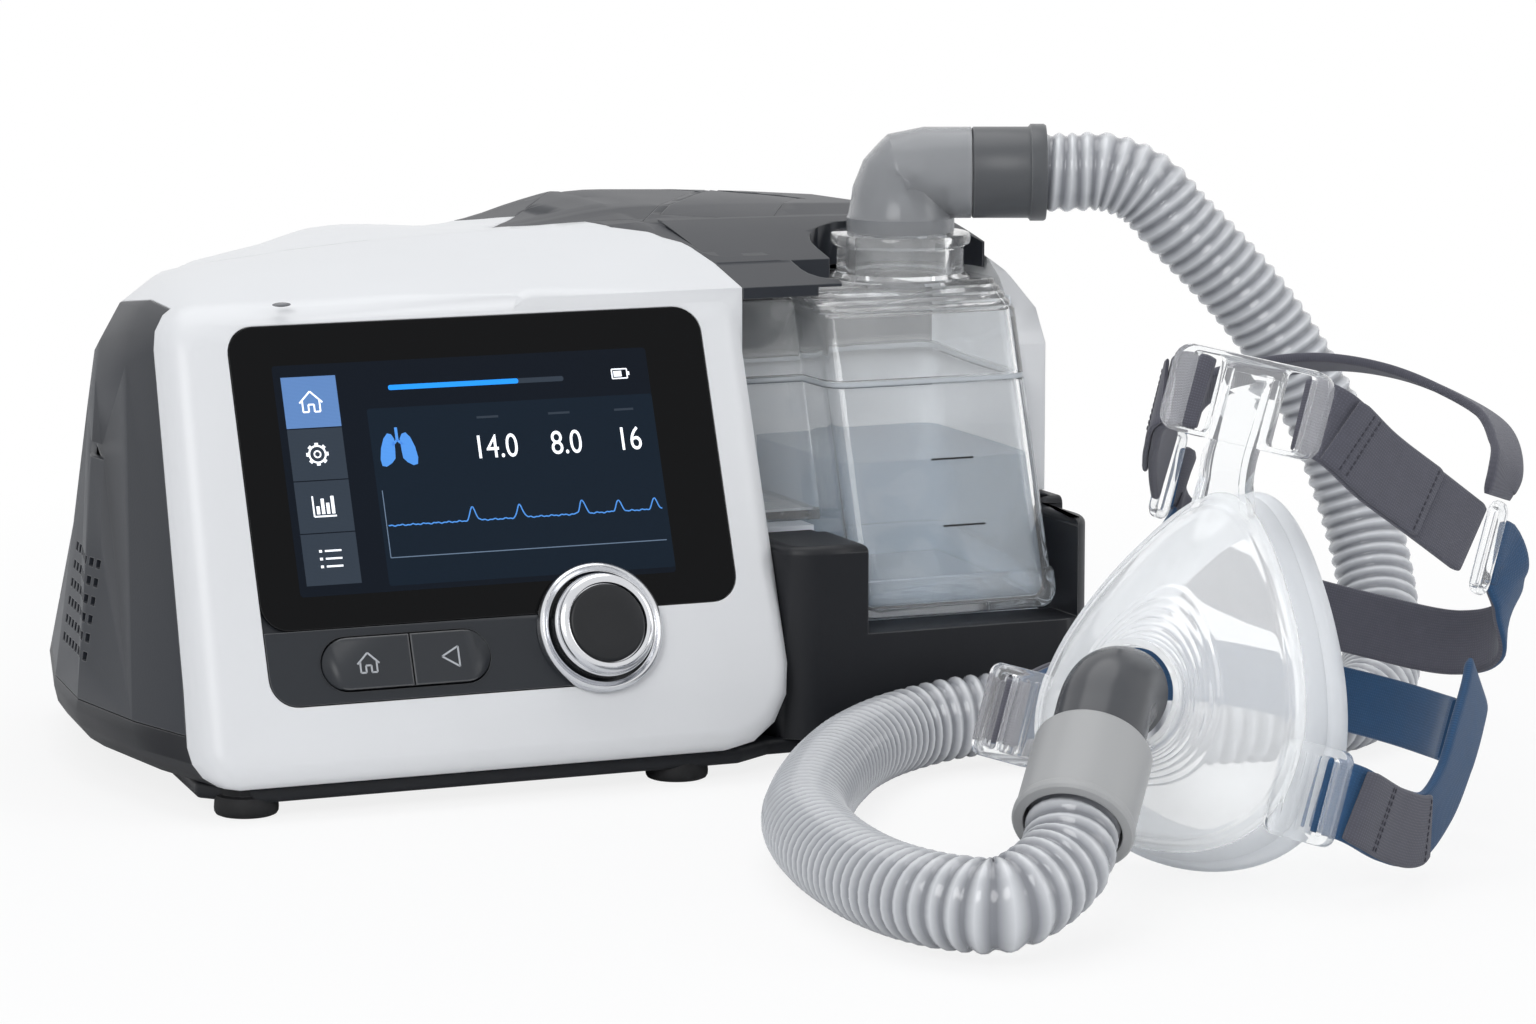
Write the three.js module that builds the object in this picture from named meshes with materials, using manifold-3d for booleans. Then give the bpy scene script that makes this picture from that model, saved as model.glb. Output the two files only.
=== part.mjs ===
// Positive airway pressure machine with its heated humidifier tank, outlet elbow, ribbed hose,
// full mask and headgear. Millimetres, +Z up, the machine's front looks along -Y.
// The machine stands on the floor plane; x = 0 runs through the middle of its front plate.
import * as THREE from 'three';
import { mergeVertices } from 'three/addons/utils/BufferGeometryUtils.js';
import Module from 'manifold-3d';

const wasm = await Module();
wasm.setup();

// Shared clearances and overruns
const leastRound_share = 0.3;    // of a corner's radius, kept where a wall shrinks it
const outerFacets = { corner: 4, roof: 6, rear: [0, 45, 90], front: [0, 30, 60, 90] };
const innerFacets = { corner: 2, roof: 4, rear: [0, 45, 90], front: [0, 90] };
const seatGap = 0.3;            // between two pieces that touch
const runningGap = 0.5;         // between a moving piece and its guide
const overrun = 4;              // how far a cutting tool passes through its wall
const far = 400;                // past the whole machine on every side

// Machine body
const footHeight = 8;
const faceTilt = THREE.MathUtils.degToRad(20.83);
const faceHeight = 130;         // along the sloping front
const faceLeftBottom = 81.5;
const faceLean = 4.1;           // how far the left edge moves in toward the top
const faceRight = 88.5;
const bodyDepth = 190;
const bodyRight = 188;
const sideBulge = 13;           // the left flank swells behind the front plate
const bulgeAt_share = 0.5;      // where along the depth it is widest
const rearTaper = 24;           // and how far it has drawn in again at the rear
const wall = 2.6;
const crestRise = 17;           // of the domed top over the front crease
const crestY = 150;
const archX = 70;               // the dome's highest line
const archHalfLeft = 100;
const archHalfRight = 200;
const archDrop = 14;
const archPower = 1.8;          // the dome falls away faster toward the rear
const frontRound = 7;
const rearRound = 20;
const cornerTopLeft = 11;
const shoulderSwell = 46;       // growth of the left shoulder's radius from front to rear
const flankLean = 11;           // the left flank leans in this much more than the front plate
const cornerBottomLeft = 11;
const cornerBottomRight = 22;
const shoulderRound = 24;       // top right edge
const bayMassLeft = 20;         // where the humidifier side's own mass starts, inside the body
const seamHeight = 22;          // top of the base tray
const faceSlab = 10;            // depth of the white front shell's rim

const creaseY = faceHeight * Math.sin(faceTilt);
const creaseZ = footHeight + faceHeight * Math.cos(faceTilt);

// White top and dark top meet on a seam that sweeps from the right edge back and to the left
const leftSeamX = -72;
const seamTurnY = 66;
const seamBackY = 104;
const seamLeftY = 112;
const seamSweep = 26;           // reach of the sweep's round corner

// Covers in the dark top, seen from above, and the layer they are cut from
const coverThick = 1.5;
const serviceCorners = [[45, 127], [84, 108.5], [124, 165], [88, 184]];
const flapCorners = [[92.5, 115.5], [123, 106], [149, 147], [131, 170]];
const flapSwingRoom = [[148, 144.6], [151.4, 147.2], [131.8, 172.2], [128.4, 169.6]];

// Rear panel
const rearPanelLeft = -46;
const rearPanelRight = 160;
const rearPanelLow = 30;
const rearPanelHigh = 104;
const filterLeft = -34;
const filterRight = 6;
const filterLow = 44;
const filterHigh = 84;
const filterDeep = 10;
const filterSlots = 7;
const inletX = 120;
const inletZ = 44;
const inletSize = 13;
const inletBore = 4;

// Vent grille in the left flank
const ventRows = 6;
const ventColumns = 8;
const ventY = 95;
const ventZ = 46;
const ventPitchY = 4.7;
const ventPitchZ = 5;
const ventSlotY = 3;
const ventSlotZ = 2.4;
const notchY = 96;
const notchZ = 88;
const notchLong = 22;
const notchHigh = 4;

// Base
const apronFront = 12;
const apronBack = 50;
const apronTop = 64;
const apronRight = 183.5;
const apronCorner = 14;
const footRadius = 9;
const footBevel = 1;
const rearFootLeftInset = 40;   // from the machine's back
const rearFootRightInset = 30;
const footPlaces = [
  [-66, 16], [56.5, 16], [165, 36], [-58, bodyDepth - rearFootLeftInset], [160, bodyDepth - rearFootRightInset],
];
const rightWallX = 178;
const lipTop = 65.5;
const cutoutRadius = 31;

// Humidifier tank
const tankLeft = 113.5;
const tankRight = 175.5;
const tankFront = 20;
const tankBack = 106;
const tankFloor = 38;
const tankTilt = THREE.MathUtils.degToRad(18.5);
const tankCorner = 7;
const tankWall = 2.2;
const sideLeft = 90;            // the shallow chamber beside the main one
const sideSetback = 20;
const sideFloor = 63;
const sealHeight = 1.2;
const lidShoulder = 18;         // height of the lid's straight front above the seal
const lidDrop = 2.5;            // the lid's top under the front crease
const lidHigh = 26.6;           // from the tub's rim to the lid's top
const sideLidDrop = 2.4;
const lidTop = creaseZ - lidDrop;
const sideLidTop = lidTop - sideLidDrop;
const tubHeight = lidTop - lidHigh - tankFloor;
const lidStepCount = 4;
const flangeHeight = 11;
const flangeOut = 1.1;
const bayGap = flangeOut + runningGap;
const cradleWall = 2.2;
const cradleDrop = 5;
const cradleTop = lidTop - cradleDrop;
const cradleSetback = 12;       // the liner starts this far behind the tank's front

// Outlet neck, elbow and the cuff on the hose
const neckX = 150;
const neckY = 75;
const neckRadius = 20;
const neckBore = 13;
const neckRise = 13;
const neckTop = lidTop + neckRise;
const elbowBaseRadius = 15.4;
const elbowArmRadius = 13;
const elbowWall = 2;
const elbowRise = 17;
const elbowAxisZ = neckTop + elbowRise;
const mitreSwell_share = 1.12;
const mitreTurn_shares = [0.45, 0.75];
const elbowArm = 20;
const elbowHeading = THREE.MathUtils.degToRad(-23.25);
const cuffLength = 21;
const cuffRimLength = 4.5;
const cuffRimRadius = 13.8;
const cuffSleeveRadius = 13;
const socketDepth = 6;
const cuffBore = 9.2;

// Ribbed hose
const hoseRadius = 11.5;
const hoseRoot = 10;
const hoseBore = 8.6;
const ribPitch = 5.2;
const ribSides = 8;
const ribsPerBoreRing = 5;
const selfGapMinimum = 0.4;

// Front controls, in the front plate's own plane: u to the right, v up the slope
const panelLeft = -60.8;
const panelRight = 74.6;
const panelTopMargin = 4.5;
const panelTop = faceHeight - panelTopMargin;
const panelBottom = 22.5;
const panelRound = 7.5;
const glassBottom = 42.8;
const glassThick = 1.1;
const panelThick = wall;
const screenWide = 106;
const screenMarginV = 8.35;
const screenHigh = panelTop - glassBottom - screenMarginV * 2;
const screenThick = 3;
const knobU = 32.8;
const knobV = 37.6;
const knobRingRadius = 17.75;
const knobRadius = 14.2;
const knobFaceRadius = 10.6;
const knobGap = 1;              // between the knob and its plated ring
const knobBevel = 1;
const knobStep = 0.6;
const knobWeb = 1.6;
const knobProud = 8;
const knobPress = 1;
const knobCapThick = 1.2;
const ringHeight = 3.2;
const ringBevel = 0.8;
const pillLeft = -45.9;
const pillSplit = -21.2;
const pillRight = 0.7;
const pillBottom = 25.8;
const pillTop = 39.7;
const buttonProud = 1;
const buttonTravel = 0.8;
const buttonLip = 1.2;
const boardThick = 1.6;
const boardDepth = 17;          // board's front face behind the front surface
const shaftRadius = 3;

// Mask, in its own frame: x across, y toward the face, z up
const maskHalfWidth = 35;
const maskHalfHeight = 47;
const maskTaper = 0.42;
const maskWall = 2;
const cushionDepth = 26;
const frameDepth = 26;
const portRadius = 14;
const portDrop = 10;
const maskPlace = new THREE.Vector3(138.5, -140, 47.5);
const maskHeading = THREE.MathUtils.degToRad(-52.5);
const maskLean = THREE.MathUtils.degToRad(16);
const maskRoll = THREE.MathUtils.degToRad(8);
const maskElbowRadius = 11.5;
const maskElbowWall = 2.6;
const maskElbowReach = 9;
const maskArm = 46;
const maskArmHeading = THREE.MathUtils.degToRad(-130);
const maskArmDip = THREE.MathUtils.degToRad(35);
const collarLength = 26;
const collarRadius = 14.4;
const collarSocket = 12;
const collarRimOut = 0.4;
const collarRimLength = 2;
const foreheadHeight = 68;
const foreheadWide = 43;
const strapWide = 19;
const strapThick = 2.4;
const headSpan = 100;           // the scale of the headgear's loops

// Materials
const paint = (name, color, roughness, metalness = 0, opacity = 1) =>
  new THREE.MeshStandardMaterial({ name, color, roughness, metalness, opacity, transparent: opacity < 1 });
const white = paint('white_shell', 0xe2e2e4, 0.45);
const dark = paint('dark_housing', 0x45464c, 0.5);
const darkBase = paint('dark_base', 0x2b2c31, 0.55);
const panelGrey = paint('panel_grey', 0x34373c, 0.45);
const glassBlack = paint('screen_glass', 0x050608, 0.08);
const chrome = paint('chrome', 0xc9ccd1, 0.15, 1);
const rubberBlack = paint('rubber', 0x17181a, 0.8);
const clear = paint('clear_plastic', 0xdfe6ea, 0.08, 0, 0.4);
const smoke = paint('smoke_plastic', 0x8a8c90, 0.25);
const cuffGrey = paint('cuff_grey', 0x5f6164, 0.45);
const collarGrey = paint('collar_grey', 0x9a9a9b, 0.45);
const hoseClear = paint('hose_clear', 0xb9bcc2, 0.35);
const silicone = paint('silicone', 0xe6ebee, 0.3, 0, 0.5);
const strapGrey = paint('strap_grey', 0x55555f, 0.9);
const strapBlue = paint('strap_blue', 0x2f5378, 0.9);
const steel = paint('steel', 0xb4b7bb, 0.35, 1);
const boardGreen = paint('board', 0x1d5a3a, 0.5);
const innerGrey = paint('inner_plastic', 0x6d7076, 0.6);
const foamGrey = paint('filter_foam', 0x8b8f94, 0.95);

// Solids and booleans
const part = new THREE.Group();
part.name = 'cpap_machine';

function solid(geometry) {
  const bare = geometry.clone();
  bare.deleteAttribute('normal');
  bare.deleteAttribute('uv');
  const merged = mergeVertices(bare, 1e-5);
  return new wasm.Manifold(new wasm.Mesh({
    numProp: 3,
    vertProperties: new Float32Array(merged.attributes.position.array),
    triVerts: new Uint32Array(merged.index.array),
  }));
}

function toGeometry(manifold) {
  const mesh = manifold.getMesh();
  const geometry = new THREE.BufferGeometry();
  geometry.setAttribute('position', new THREE.BufferAttribute(new Float32Array(mesh.vertProperties), 3));
  geometry.setIndex(new THREE.BufferAttribute(new Uint32Array(mesh.triVerts), 1));
  geometry.computeVertexNormals();
  return geometry;
}

function addPiece(name, shape, material, parent = part) {
  const geometry = shape.isBufferGeometry ? shape : toGeometry(shape);
  const mesh = new THREE.Mesh(geometry, material);
  mesh.name = name;
  parent.add(mesh);
  return mesh;
}

const unite = (...shapes) => shapes.reduce((sum, shape) => sum.add(shape));
const moved = (manifold, matrix) => manifold.transform(matrix.elements);

function box(x0, x1, y0, y1, z0, z1) {
  const geometry = new THREE.BoxGeometry(x1 - x0, y1 - y0, z1 - z0);
  return solid(geometry.translate((x0 + x1) / 2, (y0 + y1) / 2, (z0 + z1) / 2));
}

function prism(outline, low, high) {
  const shape = outline instanceof THREE.Shape ? outline : new THREE.Shape(outline);
  const geometry = new THREE.ExtrudeGeometry(shape, { depth: high - low, bevelEnabled: false, curveSegments: 4 });
  return solid(geometry.translate(0, 0, low));
}

// A prism along X from an outline given as (y, z)
function prismAlongX(outline, x0, x1) {
  const turn = new THREE.Matrix4().makeBasis(
    new THREE.Vector3(0, 1, 0), new THREE.Vector3(0, 0, 1), new THREE.Vector3(1, 0, 0));
  return moved(prism(outline, x0, x1), turn);
}

function disc(radius, low, high, x = 0, y = 0, sides = 24) {
  const geometry = new THREE.CylinderGeometry(radius, radius, high - low, sides);
  return solid(geometry.rotateX(Math.PI / 2).translate(x, y, (low + high) / 2));
}

function revolve(profile, sides) {
  const points = profile.map(([radius, height]) => new THREE.Vector2(radius, height));
  points.push(points[0].clone());
  return solid(new THREE.LatheGeometry(points, sides).rotateX(Math.PI / 2));
}

function roundedRect(x0, x1, y0, y1, radius) {
  const shape = new THREE.Shape();
  shape.moveTo(x0 + radius, y0);
  shape.lineTo(x1 - radius, y0);
  shape.absarc(x1 - radius, y0 + radius, radius, -Math.PI / 2, 0);
  shape.lineTo(x1, y1 - radius);
  shape.absarc(x1 - radius, y1 - radius, radius, 0, Math.PI / 2);
  shape.lineTo(x0 + radius, y1);
  shape.absarc(x0 + radius, y1 - radius, radius, Math.PI / 2, Math.PI);
  shape.lineTo(x0, y0 + radius);
  shape.absarc(x0 + radius, y0 + radius, radius, Math.PI, Math.PI * 1.5);
  return shape;
}

// The outline's corner points without repeats
function outlinePoints(shape, segments = 4) {
  const points = shape.getPoints(segments);
  return points.filter((point, i) => point.distanceTo(points[(i + 1) % points.length]) > 1e-4);
}

// Joins rings of equal point count into one closed body; a ring loop makes a hollow torus form
function loft(rings, closed = false) {
  const count = rings[0].length;
  const positions = [];
  const index = [];
  for (const ring of rings) for (const point of ring) positions.push(point.x, point.y, point.z);
  const last = closed ? rings.length : rings.length - 1;
  for (let i = 0; i < last; i += 1) {
    const a = i * count;
    const b = ((i + 1) % rings.length) * count;
    for (let j = 0; j < count; j += 1) {
      const k = (j + 1) % count;
      index.push(a + j, a + k, b + k, a + j, b + k, b + j);
    }
  }
  if (!closed) {
    addCap(positions, index, rings[0], 0, true);
    addCap(positions, index, rings.at(-1), (rings.length - 1) * count, false);
  }
  const geometry = new THREE.BufferGeometry();
  geometry.setAttribute('position', new THREE.Float32BufferAttribute(positions, 3));
  geometry.setIndex(index);
  return outward(geometry);
}

function addCap(positions, index, ring, start, first) {
  const centre = ring.reduce((sum, point) => sum.add(point), new THREE.Vector3()).divideScalar(ring.length);
  const middle = positions.length / 3;
  positions.push(centre.x, centre.y, centre.z);
  for (let j = 0; j < ring.length; j += 1) {
    const k = (j + 1) % ring.length;
    if (first) index.push(middle, start + k, start + j);
    else index.push(middle, start + j, start + k);
  }
}

function signedVolume(geometry) {
  const p = geometry.attributes.position;
  const corner = [new THREE.Vector3(), new THREE.Vector3(), new THREE.Vector3()];
  let volume = 0;
  for (let i = 0; i < geometry.index.count; i += 3) {
    corner.forEach((point, k) => point.fromBufferAttribute(p, geometry.index.getX(i + k)));
    volume += corner[0].dot(corner[1].clone().cross(corner[2])) / 6;
  }
  return volume;
}

function outward(geometry) {
  if (signedVolume(geometry) < 0) {
    const order = geometry.index.array;
    for (let i = 0; i < order.length; i += 3) [order[i], order[i + 1]] = [order[i + 1], order[i]];
  }
  geometry.computeVertexNormals();
  return geometry;
}

// Rings of a round tube along a path with parallel-carried frames
function tubeRings(points, radii, sides) {
  const rings = [];
  const side = new THREE.Vector3();
  points.forEach((point, i) => {
    const ahead = points[Math.min(i + 1, points.length - 1)];
    const behind = points[Math.max(i - 1, 0)];
    const along = ahead.clone().sub(behind).normalize();
    if (i === 0) {
      const helper = Math.abs(along.z) < 0.9 ? new THREE.Vector3(0, 0, 1) : new THREE.Vector3(1, 0, 0);
      side.crossVectors(along, helper).normalize();
    }
    side.addScaledVector(along, -side.dot(along)).normalize();
    const up = new THREE.Vector3().crossVectors(side, along);
    const radius = Array.isArray(radii) ? radii[i] : radii;
    const ring = [];
    for (let j = 0; j < sides; j += 1) {
      const angle = (j / sides) * 2 * Math.PI;
      ring.push(point.clone()
        .addScaledVector(side, radius * Math.cos(angle))
        .addScaledVector(up, radius * Math.sin(angle)));
    }
    rings.push(ring);
  });
  return rings;
}

// A flat band along a route; each station's tilt turns its width away from upright
function band(route, acrossList, wide, thick, steps) {
  const curve = new THREE.CatmullRomCurve3(route, false, 'centripetal');
  const across = new THREE.CatmullRomCurve3(acrossList, false, 'centripetal');
  const rings = [];
  for (let i = 0; i <= steps; i += 1) {
    const point = curve.getPoint(i / steps);
    const along = curve.getTangent(i / steps);
    const width = across.getPoint(i / steps);
    width.addScaledVector(along, -width.dot(along)).normalize();
    const out = new THREE.Vector3().crossVectors(along, width);
    rings.push([[-1, -1], [1, -1], [1, 1], [-1, 1]].map(([a, b]) => point.clone()
      .addScaledVector(width, a * wide / 2)
      .addScaledVector(out, b * thick / 2)));
  }
  return loft(rings);
}

// Body: rings in planes that lean with the front and stand upright at the rear
function topHeight(x, y) {
  const back = (y - creaseY) / (crestY - creaseY);
  const rise = back > 0 ? Math.sin(Math.min(back, 1) * Math.PI / 2) : back * Math.PI / 2;
  const half = x < archX ? archHalfLeft : archHalfRight;
  const arch = Math.max(back, 0) ** archPower * archDrop * ((x - archX) / half) ** 2;
  return creaseZ + crestRise * rise - arch;
}

function bodyRing({ base, lean, left, leftLean, right, inset, round, facets }) {
  const slope = Math.tan(lean);
  const ring = [];
  const yAt = (z) => base + (z - footHeight) * slope;
  const roof = (x) => {
    let z = creaseZ;
    for (let i = 0; i < 6; i += 1) z = topHeight(x, yAt(z)) - inset;
    return z;
  };
  const push = (x, z) => ring.push(new THREE.Vector3(x, yAt(z), z));
  const leftAt = (z) => left + inset + leftLean * (z - footHeight) / faceHeight;
  const arc = (cornerX, cornerZ, radius, from, to) => {
    for (let i = 0; i <= facets.corner; i += 1) {
      const angle = from + (to - from) * i / facets.corner;
      push(cornerX + radius * Math.cos(angle), cornerZ + radius * Math.sin(angle));
    }
  };
  const size = (radius) => Math.max(radius - inset, radius * leastRound_share);
  const low = footHeight + inset;
  const bl = size(round.bottomLeft);
  const tl = size(round.topLeft);
  const tr = size(round.topRight);
  const br = size(round.bottomRight);
  const edge = right - inset;
  arc(leftAt(low) + bl, low + bl, bl, -Math.PI / 2, -Math.PI);
  const leftTop = leftAt(roof(left + tl)) + tl;
  arc(leftTop, roof(leftTop) - tl, tl, Math.PI, Math.PI / 2);
  const rightTop = edge - tr;
  for (let i = 1; i < facets.roof; i += 1) {
    const x = leftTop + (rightTop - leftTop) * i / facets.roof;
    push(x, roof(x));
  }
  arc(rightTop, roof(rightTop) - tr, tr, Math.PI / 2, 0);
  arc(edge - br, low + br, br, 0, -Math.PI / 2);
  return ring;
}

const middle_shares = [0.2, 0.4, 0.6, 0.75];
const sideMiddle_shares = [0.42, 0.66];

// The machine's main mass; shrink draws every face in by that much
function mainMass(shrink, facets = outerFacets) {
  const station = (share, frontDepth, inset) => {
    const round = {
      topLeft: cornerTopLeft + shoulderSwell * share,
      topRight: frontRound,
      bottomLeft: cornerBottomLeft,
      bottomRight: cornerBottomRight,
    };
    const bulge = sideBulge * Math.sin(Math.min(share / bulgeAt_share, 1) * Math.PI / 2)
      - rearTaper * Math.max(share - bulgeAt_share, 0) / (1 - bulgeAt_share);
    return bodyRing({
      base: share * bodyDepth + frontDepth / Math.cos(faceTilt),
      lean: faceTilt * (1 - share),
      left: -faceLeftBottom - bulge,
      leftLean: faceLean + flankLean * Math.min(share / bulgeAt_share, 1),
      right: faceRight,
      inset,
      round,
      facets,
    });
  };
  const rings = [];
  for (const angle of facets.front.map(THREE.MathUtils.degToRad)) {
    const depth = frontRound * (1 - Math.cos(angle)) + shrink;
    rings.push(station(0, depth, frontRound * (1 - Math.sin(angle)) + shrink));
  }
  for (const share of middle_shares) rings.push(station(share, shrink, shrink));
  rings.push(...rearRings(station, shrink, facets));
  return solid(loft(rings));
}

// Quarter-round rear edge shared by both masses
function rearRings(station, shrink, facets) {
  return facets.rear.map(THREE.MathUtils.degToRad).map((angle) => {
    const back = bodyDepth - rearRound + rearRound * Math.sin(angle) - shrink;
    return station(back / bodyDepth, 0, rearRound * (1 - Math.cos(angle)) + shrink);
  });
}

function sideMass(shrink, facets = outerFacets) {
  const round = {
    topLeft: frontRound, topRight: shoulderRound, bottomLeft: frontRound, bottomRight: cornerTopLeft,
  };
  const station = (share, frontDepth, inset) => bodyRing({
    base: share * bodyDepth + frontDepth,
    lean: 0,
    left: bayMassLeft,
    leftLean: 0,
    right: bodyRight,
    inset,
    round,
    facets,
  });
  const front = creaseY / bodyDepth;
  const rings = [station(front, shrink, shrink)];
  for (const share of sideMiddle_shares) rings.push(station(share, 0, shrink));
  rings.push(...rearRings(station, shrink, facets));
  return solid(loft(rings));
}

// Tools in the leaning frame of the front plate
const facePlane = new THREE.Group();
facePlane.rotation.x = Math.PI / 2 - faceTilt;
facePlane.position.z = footHeight;
facePlane.updateMatrixWorld(true);
part.add(facePlane);
const onFace = (manifold) => moved(manifold, facePlane.matrix);

function behindFace(depth, x0, x1) {
  return onFace(box(x0, x1, -far, far, -far, -depth));
}

const mainOuter = mainMass(0);
const mainInner = mainMass(wall, innerFacets);
const sideOuter = sideMass(0);
const sideInner = sideMass(wall, innerFacets);
const bodyOuter = unite(mainOuter, sideOuter);
const bodyInner = unite(mainInner, sideInner);
const bodyShell = bodyOuter.subtract(bodyInner);

// Tank volume, grown or shrunk by an offset; shared by tub, lid, liner and apron
function tankRing(z, x0, x1, front, offset, corner) {
  const outline = roundedRect(x0 - offset, x1 + offset, front - offset, tankBack + offset, corner + offset);
  return outlinePoints(outline, 2).map((point) => new THREE.Vector3(point.x, point.y, z));
}

const tankFrontAt = (z) => tankFront + (z - tankFloor) * Math.tan(tankTilt);

function tankBlock(offset, low, high) {
  const span = (z) => tankRing(z, tankLeft, tankRight, tankFrontAt(z), offset, tankCorner);
  return solid(loft([span(low), span(high)]));
}

function sideBlock(offset, low, high) {
  const span = (z) => tankRing(z, sideLeft, tankLeft + tankCorner * 2,
    tankFrontAt(z) + sideSetback, offset, tankCorner - tankWall);
  return solid(loft([span(low), span(high)]));
}

const rimZ = tankFloor + tubHeight;
const sealTopZ = rimZ + seatGap + sealHeight;
const lidBottomZ = sealTopZ + seatGap;
const shoulderZ = lidBottomZ + lidShoulder;

function tankVolume(offset, top) {
  return unite(
    tankBlock(offset, tankFloor - offset, top),
    sideBlock(offset, sideFloor - offset, top),
  );
}

const bay = tankVolume(bayGap, creaseZ + crestRise);
// The tank's way out: the bay's own section carried forward
const slideWay = unite(
  box(tankLeft - bayGap, tankRight + bayGap, -far, neckY, tankFloor - bayGap, lidTop + bayGap),
  box(sideLeft - bayGap, tankLeft + tankCorner, -far, neckY, sideFloor - bayGap, sideLidTop + bayGap),
);
const linerOuter = tankVolume(bayGap + cradleWall, cradleTop);
const linerClear = tankVolume(bayGap + cradleWall + seatGap, cradleTop + seatGap);
const linerFront = prismAlongX([
  new THREE.Vector2(tankFrontAt(-far) + cradleSetback, -far),
  new THREE.Vector2(tankFrontAt(far) + cradleSetback, far),
  new THREE.Vector2(far, far),
  new THREE.Vector2(far, -far),
], -far, far);

// Front controls' outlines
function panelOutline(grow) {
  const shape = new THREE.Shape();
  const left = panelLeft - grow;
  const right = panelRight + grow;
  const top = panelTop + grow;
  const bottom = panelBottom - grow;
  const radius = panelRound + grow;
  const ring = knobRingRadius - buttonLip + grow;
  const ringEnter = Math.asin((bottom - knobV) / ring);
  const ringLeave = Math.asin((glassBottom - grow - knobV) / ring);
  shape.moveTo(left + radius, bottom);
  shape.lineTo(knobU - ring * Math.cos(ringEnter), bottom);
  shape.absarc(knobU, knobV, ring, Math.PI - ringEnter, 2 * Math.PI + ringLeave);
  shape.lineTo(right - radius, glassBottom - grow);
  shape.absarc(right - radius, glassBottom - grow + radius, radius, -Math.PI / 2, 0);
  shape.absarc(right - radius, top - radius, radius, 0, Math.PI / 2);
  shape.absarc(left + radius, top - radius, radius, Math.PI / 2, Math.PI);
  shape.absarc(left + radius, bottom + radius, radius, Math.PI, Math.PI * 1.5);
  return shape;
}

// Front shell: the plate round the controls, its rim, and the white part of the top
function whiteTopOutline(grow) {
  const shape = new THREE.Shape();
  const right = faceRight + seatGap + grow;
  const back = seamBackY + grow;
  shape.moveTo(leftSeamX - grow, -overrun);
  shape.lineTo(right, -overrun);
  shape.lineTo(right, seamTurnY);
  shape.bezierCurveTo(right, back - seamSweep / 4, right - seamSweep / 2, back - seamSweep / 8,
    right - seamSweep, back);
  shape.lineTo(leftSeamX - grow, seamLeftY + grow);
  return shape;
}

function whiteRegion(grow) {
  const rim = onFace(box(-far, faceRight + seatGap + grow, -far, far, -faceSlab - grow, far));
  const top = prism(whiteTopOutline(grow), creaseZ - frontRound * 3 - grow, far);
  return unite(rim, top.intersect(behindFace(faceSlab - overrun, -far, far)));
}

const postInset = 7.5;
const postRadius = 3;
const boardMargin = 12;
const boardLeft = panelLeft - boardMargin;
const boardRight = panelRight + postInset;
const boardLow = panelBottom;
const boardHigh = panelTop - boardMargin / 2;
const postPlaces = [
  [boardLeft + postRadius, boardLow + postInset], [boardRight - postRadius, boardLow + postInset],
  [boardLeft + postRadius, boardHigh - postInset], [boardRight - postRadius, boardHigh - postInset],
];
const posts = unite(...postPlaces.map(([u, v]) =>
  disc(postRadius, -boardDepth + seatGap, -wall / 2, u, v, 12)));
const whiteKeep = whiteRegion(0);
const whiteClear = whiteRegion(seatGap);
const frontShell = bodyShell.intersect(whiteKeep).intersect(box(-far, faceRight + seatGap, -far, far, 0, far))
  .subtract(onFace(prism(panelOutline(seatGap), -frontRound, overrun)))
  .add(onFace(posts));
addPiece('front_shell', frontShell, white);

// Left flank with its vent grille and the notch above it
const baseKeep = unite(
  box(-far, rightWallX + overrun, -far, far, -far, seamHeight - seatGap),
  box(rightWallX, far, -far, far, -far, lipTop),
);
const slots = [];
for (let row = 0; row < ventRows; row += 1) {
  for (let column = 0; column < ventColumns; column += 1) {
    const y = ventY + (column - (ventColumns - 1) / 2) * ventPitchY;
    const z = ventZ + (row - (ventRows - 1) / 2) * ventPitchZ;
    slots.push(box(-far, leftSeamX, y - ventSlotY / 2, y + ventSlotY / 2, z - ventSlotZ / 2, z + ventSlotZ / 2));
  }
}
const notch = box(-far, -faceLeftBottom, notchY - notchLong / 2, notchY + notchLong / 2,
  notchZ - notchHigh / 2, notchZ + notchHigh / 2);
const leftCover = bodyShell
  .intersect(box(-far, leftSeamX - seatGap, -far, far, seamHeight, far))
  .subtract(whiteClear)
  .subtract(unite(...slots, notch));
addPiece('left_side_cover', leftCover, dark);

// Dark top with the round cut-out for the outlet and two covers let into it
const polygon = (corners, grow) => {
  const centre = corners.reduce((sum, [x, y]) => sum.add(new THREE.Vector2(x, y)), new THREE.Vector2())
    .divideScalar(corners.length);
  return corners.map(([x, y]) => {
    const point = new THREE.Vector2(x, y);
    return point.add(point.clone().sub(centre).normalize().multiplyScalar(grow));
  });
};
const below = (depth) => unite(mainMass(depth), sideMass(depth));
const overTop = creaseZ - overrun;
const coverPrism = (corners, grow) => prism(polygon(corners, grow), overTop, far);
const rearPanelBox = (grow) => box(rearPanelLeft - grow, rearPanelRight + grow,
  bodyDepth - rearRound, far, rearPanelLow - grow, rearPanelHigh + grow);
const bayMouth = box(faceRight, rightWallX, -far, bodyDepth / 3, -far, sideLidTop + bayGap);
const notchForNeck = unite(
  disc(cutoutRadius, shoulderZ, far, neckX, neckY),
  box(neckX - cutoutRadius, rightWallX, -far, neckY, shoulderZ, far),
);
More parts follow.
